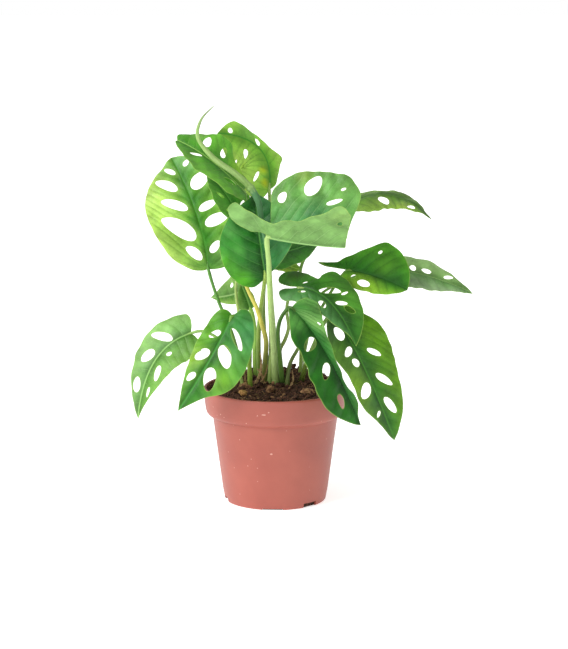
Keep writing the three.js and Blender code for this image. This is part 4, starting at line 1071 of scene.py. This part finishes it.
# Radius and height up the outside from the foot, over the lip, and down the inside
OUTER_WALL = [
    (36.0, 0), (41.4, 0), (42.1, 0.25), (42.5, 0.9), (42.9, 3), (44.2, 10), (47.0, 31), (49.8, 52),
    (52.35, 71.2), (52.55, 72.3), (53.2, 72.9), (55.4, 73.6), (56.6, 74.2), (57.4, 75.3), (58.0, 76.6),
    (58.4, 78.4), (59.0, 83), (59.7, 91), (60.0, 94.2), (60.0, 95.0), (59.75, 95.6), (59.3, 95.95),
]
LIP = [(58.6, 96.0), (58.0, 95.85), (57.6, 95.4)]
INNER_WALL = [
    (57.4, 91), (56.2, 77), (54.8, 75.2), (51.8, 74.2), (51.0, 71.6), (42.8, 10), (41.4, 3.6), (40.2, 2),
]
WALL_SIDES = 176
DRAIN_REACH = 36
# Three tall and three low drain openings round the foot
DRAINS = [
    dict(name=f"{kind}_drain_{k + 1}", width=width, height=height, bearing=math.radians(bearing + 120 * k))
    for kind, width, height, bearing in (("tall", 14, 4, -47), ("low", 17, 1.2, -93))
    for k in range(3)
]


# The wall is drawn up ring by ring from the foot, over the lip and down inside
def mould_pot():
    bpy.ops.object.select_all(action="DESELECT")
    rings = [*OUTER_WALL, *LIP, *INNER_WALL]
    radius, height = rings[0]
    bpy.ops.mesh.primitive_circle_add(vertices=WALL_SIDES, radius=radius * MM, fill_type="NGON",
                                      location=(0, 0, 0))
    pot = bpy.context.object
    pot.name = "nursery_pot"
    bpy.ops.object.mode_set(mode="EDIT")
    bpy.ops.mesh.select_all(action="SELECT")
    bpy.ops.mesh.flip_normals()
    for next_radius, next_height in rings[1:]:
        rise = (next_height - height) * MM
        bpy.ops.mesh.extrude_region_move(TRANSFORM_OT_translate={"value": (0, 0, rise)})
        scale = next_radius / radius
        bpy.ops.transform.resize(value=(scale, scale, 1), center_override=(0, 0, next_height * MM))
        radius, height = next_radius, next_height
    bpy.ops.mesh.select_all(action="SELECT")
    bpy.ops.mesh.normals_make_consistent(inside=False)
    bpy.ops.object.mode_set(mode="OBJECT")
    for drain in DRAINS:
        cut_drain(pot, drain)
    bpy.ops.object.shade_smooth_by_angle(angle=math.radians(32))
    pot.data.materials.append(POLYPROPYLENE)
    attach(pot, "root")
    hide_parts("pot")


# A drain opening is cut by a bar laid outwards from under the floor
def cut_drain(pot, drain):
    bpy.ops.object.select_all(action="DESELECT")
    bearing = drain["bearing"]
    middle = DRAIN_REACH * 1.5 * MM
    place = (middle * math.cos(bearing), middle * math.sin(bearing), 0)
    size = (DRAIN_REACH * MM, drain["width"] * MM, 2 * drain["height"] * MM)
    bpy.ops.mesh.primitive_cube_add(size=1, location=place, rotation=(0, 0, bearing), scale=size)
    cutter = bpy.context.object
    only_select(pot)
    cut = pot.modifiers.new("drain", "BOOLEAN")
    cut.operation = "DIFFERENCE"
    cut.object = cutter
    cut.solver = "EXACT"
    bpy.ops.object.modifier_apply(modifier=cut.name)
    bpy.data.objects.remove(cutter)


# ---- Potting mix ----

SOIL_RADIUS = 57.1
SOIL_EDGE_Z = 94.2
SOIL_HEAP = 8.5
HEAP_SHOULDER = 16
HEAP_FRONT_Y = -52
HEAP_BACK_Y = 24
SOIL_SIDES = 220
SOIL_RING_STEP = 0.95
# Radius and height down the mix's wall, just inside the pot's
SOIL_WALL = [
    (57.1, 91), (55.9, 77.3), (54.5, 75.5), (51.5, 74.5), (50.7, 71.6), (42.5, 10), (41.1, 3.6),
    (39.9, 2.3),
]


# The heap rises from the wall and towards the back, with low swells, as in the CAD
def soil_height(x, y):
    from_wall = SOIL_RADIUS - np.hypot(x, y)
    heap = SOIL_HEAP * smooth(0, HEAP_SHOULDER, from_wall) * smooth(HEAP_FRONT_Y, HEAP_BACK_Y, y)
    lumps = 0.8 * np.sin(0.42 * x + 1.1) * np.sin(0.38 * y + 0.4)
    lumps = lumps + 0.6 * np.sin(0.83 * x + 0.5 * y) + 0.5 * np.sin(0.61 * x - 0.9 * y + 2)
    return SOIL_EDGE_Z + heap + lumps * smooth(0, 6, from_wall)


# Coarse peat stands up in clods of 2 to 6 mm
def clods(x, y):
    near = noise.noise(Vector((x * 0.22, y * 0.22, 3.1)))
    fine = noise.noise(Vector((x * 0.62, y * 0.62, 7.7)))
    cells = noise.voronoi(Vector((x * 0.3, y * 0.3, 0.4)))[0]
    return 0.9 * near + 0.5 * fine + 1.1 * (cells[1] - cells[0]) - 0.5


# The mix's surface with its clods
def soil_top(x, y):
    return float(soil_height(x, y)) + clods(x, y)


# The mix in rings, up its wall and then inwards over the heap
def heap_soil():
    turns = [2 * math.pi * j / SOIL_SIDES for j in range(SOIL_SIDES)]
    heap_rings = np.arange(SOIL_RADIUS, 1.0, -SOIL_RING_STEP)
    points, faces = [], []
    for radius, height in SOIL_WALL[::-1]:
        points += [(radius * math.cos(angle), radius * math.sin(angle), height) for angle in turns]
    for radius in heap_rings:
        rough = 0.35 + 0.65 * float(smooth(0, 4, SOIL_RADIUS - radius))
        for angle in turns:
            x, y = radius * math.cos(angle), radius * math.sin(angle)
            points.append((x, y, float(soil_height(x, y)) + clods(x, y) * rough))
    last_ring = (len(SOIL_WALL) + len(heap_rings) - 1) * SOIL_SIDES
    under = len(points)
    over = under + 1
    points += [(0, 0, SOIL_WALL[-1][1]), (0, 0, float(soil_height(0.0, 0.0)))]
    for j in range(SOIL_SIDES):
        following = (j + 1) % SOIL_SIDES
        for low in range(0, last_ring, SOIL_SIDES):
            high = low + SOIL_SIDES
            faces.append((low + j, low + following, high + following, high + j))
        faces.append((under, following, j))
        faces.append((over, last_ring + j, last_ring + following))
    piece = piece_from("potting_mix", points, faces, [MOIST_PEAT], turn_at=70)
    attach(piece, "root")
    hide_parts("soil")


# One crumb as a rough ball of 42 points
def crumb_shape():
    bpy.ops.object.select_all(action="DESELECT")
    bpy.ops.mesh.primitive_ico_sphere_add(subdivisions=2, radius=1, location=(0, 0, 0))
    ball = bpy.context.object
    points = np.array([tuple(v.co) for v in ball.data.vertices])
    faces = [tuple(face.vertices) for face in ball.data.polygons]
    bpy.data.objects.remove(ball)
    return points, faces


# A random place on the mix, evenly spread within a reach of its middle
def on_soil(dice, reach):
    radius = reach * math.sqrt(dice.random())
    angle = dice.uniform(0, 2 * math.pi)
    return radius * math.cos(angle), radius * math.sin(angle)


# A random turn about a random line
def any_turn(dice):
    spin = Vector((dice.uniform(-1, 1), dice.uniform(-1, 1), dice.uniform(-1, 1))).normalized()
    return np.array(Matrix.Rotation(dice.uniform(0, 6.28), 3, spin))


# Loose crumbs of one kind, each a ball made rough, flattened, turned and sunk a little into the mix
def scattered(name, finish, count, size_range, flat_range, reach, seed, turn_at=40):
    dice = random.Random(seed)
    ball, ball_faces = crumb_shape()
    points, faces = [], []
    for _ in range(count):
        x, y = on_soil(dice, reach)
        size = size_range[0] + (size_range[1] - size_range[0]) * dice.random() ** 2.2
        flat = dice.uniform(*flat_range)
        stretch = np.array([1.0, dice.uniform(0.55, 0.95), flat])
        rough = np.array([1 + 0.28 * noise.noise(Vector(p) * 1.7 + Vector((x, y, size))) for p in ball])
        shaped = (ball * rough[:, None] * stretch) @ any_turn(dice).T * size
        z = soil_top(x, y) + size * flat * (1 - CRUMB_SUNK)
        join_shape(points, faces, shaped + (x, y, z), ball_faces)
    piece = piece_from(name, points, faces, [finish], turn_at=turn_at)
    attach(piece, "root")


# Thin bent fibres of coir and root that lie on the mix
def lay_fibres():
    dice = random.Random(11)
    points, faces = [], []
    for _ in range(FIBRES):
        x, y = on_soil(dice, 55)
        heading = dice.uniform(0, 2 * math.pi)
        long = dice.uniform(3, 11)
        turn = dice.uniform(-0.35, 0.35)
        line = []
        for i in range(7):
            lift = 0.25 + 0.7 * math.sin(i / 6 * math.pi) * dice.random()
            line.append((x, y, soil_top(x, y) + lift))
            x += math.cos(heading) * long / 6
            y += math.sin(heading) * long / 6
            heading += turn
            if math.hypot(x, y) > 56:
                break
        if len(line) < 4:
            continue
        thin = dice.uniform(0.14, 0.3)
        join_shape(points, faces, *tube(np.array(line), 4, lambda ring, angle, thin=thin: thin))
    piece = piece_from("soil_fibres", points, faces, [COIR])
    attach(piece, "root")


# Dry brown strips of old leaf sheath that lean on the feet of the stalks: where each runs, and its width
SHEATH_SCRAPS = [
    dict(line=[(-17, -9, 99), (-13.5, -8.5, 106), (-11.6, -7.5, 116), (-12.4, -6, 126)], width=1.3),
    dict(line=[(-15, -9, 99.5), (-11, -10, 103), (-7.6, -10.5, 110), (-6.2, -11, 117)], width=0.8),
    dict(line=[(-9, -8, 100), (-12, -9, 109), (-15.5, -8, 113)], width=1.1),
    dict(line=[(12.5, -15, 98.5), (15, -14, 105), (14, -12, 112)], width=0.9),
    dict(line=[(-27, -12, 98.5), (-25, -14, 105), (-25.5, -13, 111)], width=1.0),
]


# Each strip is a flat ribbon that narrows to a torn end
def hang_scraps():
    points, faces = [], []
    for scrap in SHEATH_SCRAPS:
        rough, stops = stalk_line(scrap["line"], 9)
        width = scrap["width"]

        def ribbon(ring, angle, stops=stops, width=width):
            torn = width * (1 - 0.75 * stops[ring] ** 2) * (1 + 0.2 * math.sin(ring * 1.9))
            return math.hypot(torn * math.cos(angle), 0.22 * math.sin(angle))

        join_shape(points, faces, *tube(rough, 12, ribbon))
    piece = piece_from("sheath_scraps", points, faces, [DRY_SHEATH], turn_at=60)
    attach(piece, "root")


# Flecks of lime scale that have dried on the pot: bearing, height, half width and half height
LIME_FLECKS = [
    (-93.6, 49.8, 1.1, 0.75), (-99, 84.8, 1.7, 0.5), (-140, 80.5, 0.55, 0.5), (-136, 78.7, 0.5, 0.45),
    (-95, 87, 0.6, 0.5), (-114, 76.5, 0.5, 0.45), (-118, 38, 0.45, 0.4), (-125, 60, 0.4, 0.4),
    (-150, 85, 0.5, 0.4), (-104, 84, 0.4, 0.35), (-76, 52, 0.35, 0.3), (-131, 72, 0.4, 0.3),
]


# Each fleck is a flat rough crust on the wall
def dry_flecks():
    ball, ball_faces = crumb_shape()
    radii, heights = zip(*OUTER_WALL)
    points, faces = [], []
    for bearing, height, half_width, half_height in LIME_FLECKS:
        turn = math.radians(bearing)
        outward = np.array([math.cos(turn), math.sin(turn), 0.0])
        along = np.array([-math.sin(turn), math.cos(turn), 0.0])
        centre = outward * float(np.interp(height, heights, radii)) + np.array([0, 0, height])
        here = Vector((height, bearing, 0))
        rough = np.array([1 + 0.3 * noise.noise(Vector(p) * 2.0 + here) for p in ball])
        spread = np.array([half_width * along, FLECK_THICK * outward, (0, 0, half_height)])
        join_shape(points, faces, centre + ball * rough[:, None] @ spread, ball_faces)
    piece = piece_from("lime_flecks", points, faces, [LIME_SCALE])
    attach(piece, "root")


# A cube of one unit with its sides divided, to be roughened
def divided_cube(name, cuts, smoothness):
    bpy.ops.object.select_all(action="DESELECT")
    bpy.ops.mesh.primitive_cube_add(size=1, location=(0, 0, 0))
    cube = bpy.context.object
    cube.name = name
    bpy.ops.object.mode_set(mode="EDIT")
    bpy.ops.mesh.select_all(action="SELECT")
    bpy.ops.mesh.subdivide(number_cuts=cuts, smoothness=smoothness)
    bpy.ops.object.mode_set(mode="OBJECT")
    return cube


# Painted shade: a dark block of moist peat stands behind a drain opening, where the inside of the pot lies
# in shadow
def shade_drain_with_peat(drain):
    lump = divided_cube("shade_peat_in_" + drain["name"], 7, 0)
    bearing = drain["bearing"]
    turn = Matrix.Rotation(bearing, 3, "Z")
    place = Vector((SHADE_PEAT_BEHIND * math.cos(bearing), SHADE_PEAT_BEHIND * math.sin(bearing), drain["height"] / 2))
    for v in lump.data.vertices:
        rough = 0.35 * noise.noise(Vector((v.co.x * 3 + bearing, v.co.y * 9, v.co.z * 4)))
        across, up = v.co.y * (drain["width"] - 0.8), v.co.z * (drain["height"] - 0.3)
        v.co = (turn @ Vector((v.co.x * SHADE_PEAT_THICK + rough, across, up)) + place) * MM
    lump.data.materials.append(MOIST_PEAT)
    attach(lump, "root")


# A chip of bark or wood: a box roughened, split ends and all, pressed a little into the mix
def lay_chip(name, finish, x, y, size, tilt, spin, lift):
    chip = divided_cube(name, 5, 0.6)
    place = Vector((x, y, float(soil_height(x, y)) + lift))
    turn = Euler((math.radians(tilt), math.radians(tilt * 0.4), math.radians(spin))).to_matrix()
    for v in chip.data.vertices:
        rough = 1 + 0.35 * noise.noise(v.co * 2.3 + Vector((x, y, 0)))
        grain = 0.12 * noise.noise(Vector((v.co.x * 0.8, v.co.y * 6, v.co.z * 6)))
        shaped = Vector((v.co.x * size[0], v.co.y * size[1], v.co.z * size[2])) * (rough + grain)
        v.co = (turn @ shaped + place) * MM
    chip.data.materials.append(finish)
    only_select(chip)
    bpy.ops.object.shade_smooth_by_angle(angle=math.radians(35))
    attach(chip, "root")


# ---- Everything in its place ----

mould_pot()
heap_soil()
scattered("fine_crumbs", PEAT_CRUMB, 900, (0.5, 1.7), (0.5, 0.9), 55.5, 3)
scattered("coarse_crumbs", MOIST_PEAT, 120, (1.4, 3.2), (0.5, 0.85), 53, 4)
scattered("bark_chips", PINE_BARK, 70, (0.9, 2.4), (0.25, 0.5), 54, 5, turn_at=25)
lay_fibres()
hang_scraps()
dry_flecks()
for drain in DRAINS:
    shade_drain_with_peat(drain)
lay_chip("bark_by_the_right", PINE_BARK, 27, -30, (8, 4.5, 3), 14, 25, 1.0)
lay_chip("pale_chip_left", PALE_CHIP, -26, -32, (5.5, 5.0, 3), 20, 60, 1.0)
lay_chip("tan_chunk_left", PINE_BARK, -25, -14, (6, 6, 5), 30, 20, 1.5)
lay_chip("tan_chunk_middle", PINE_BARK, -4, -24, (7, 4, 5), 25, 80, 1.5)
for leaf in LEAVES:
    grow_leaf({**PLAIN_LEAF, **leaf})
roll_young_leaf()


# ---- Floor, light and camera ----

bpy.ops.object.select_all(action="DESELECT")
bpy.ops.mesh.primitive_plane_add(size=12, location=(0, 0, -0.2 * MM))
floor = bpy.context.object
floor.name = "floor"
floor.data.materials.append(floor_paper())

scene = bpy.context.scene
scene.view_settings.view_transform = "Standard"
scene.view_settings.look = "None"
scene.view_settings.exposure = 0
scene.view_settings.gamma = 1

# A white studio tent: the camera sees it pure white, and it lights the plant softly from all round
world = bpy.data.worlds.new("white_tent")
scene.world = world
world.use_nodes = True
sky = world.node_tree
sky.nodes.clear()
seen = add(sky, "LightPath")
strength = add(sky, "MapRange", {"Value": seen.outputs["Is Camera Ray"], "To Min": 0.5, "To Max": 1.0})
tent = add(sky, "Background", {"Color": linear("#FFFFFF"), "Strength": strength})
add(sky, "OutputWorld", {"Surface": tent})


# A soft light from far away, with its spread in degrees
def soft_sun(name, strength, spread, towards):
    light = bpy.data.lights.new(name, "SUN")
    light.energy = strength
    light.angle = math.radians(spread)
    lamp = bpy.data.objects.new(name, light)
    lamp.rotation_euler = Vector(towards).to_track_quat("-Z", "Y").to_euler()
    scene.collection.objects.link(lamp)


soft_sun("window_left", 2.5, 40, (0.75, 0.45, -0.6))
soft_sun("fill_front", 0.35, 80, (-0.3, 0.9, -0.35))

# The photograph's view: eleven degrees down, from two metres away
AIM = Vector((7.3, 0, 148.6)) * MM
AWAY = 2.05
ELEVATION = math.radians(11)
camera_data = bpy.data.cameras.new("camera")
camera_data.lens = 136.5
camera_data.sensor_width = 36
camera = bpy.data.objects.new("camera", camera_data)
camera.location = AIM + AWAY * Vector((0, -math.cos(ELEVATION), math.sin(ELEVATION)))
camera.rotation_euler = (AIM - camera.location).to_track_quat("-Z", "Y").to_euler()
scene.collection.objects.link(camera)
scene.camera = camera
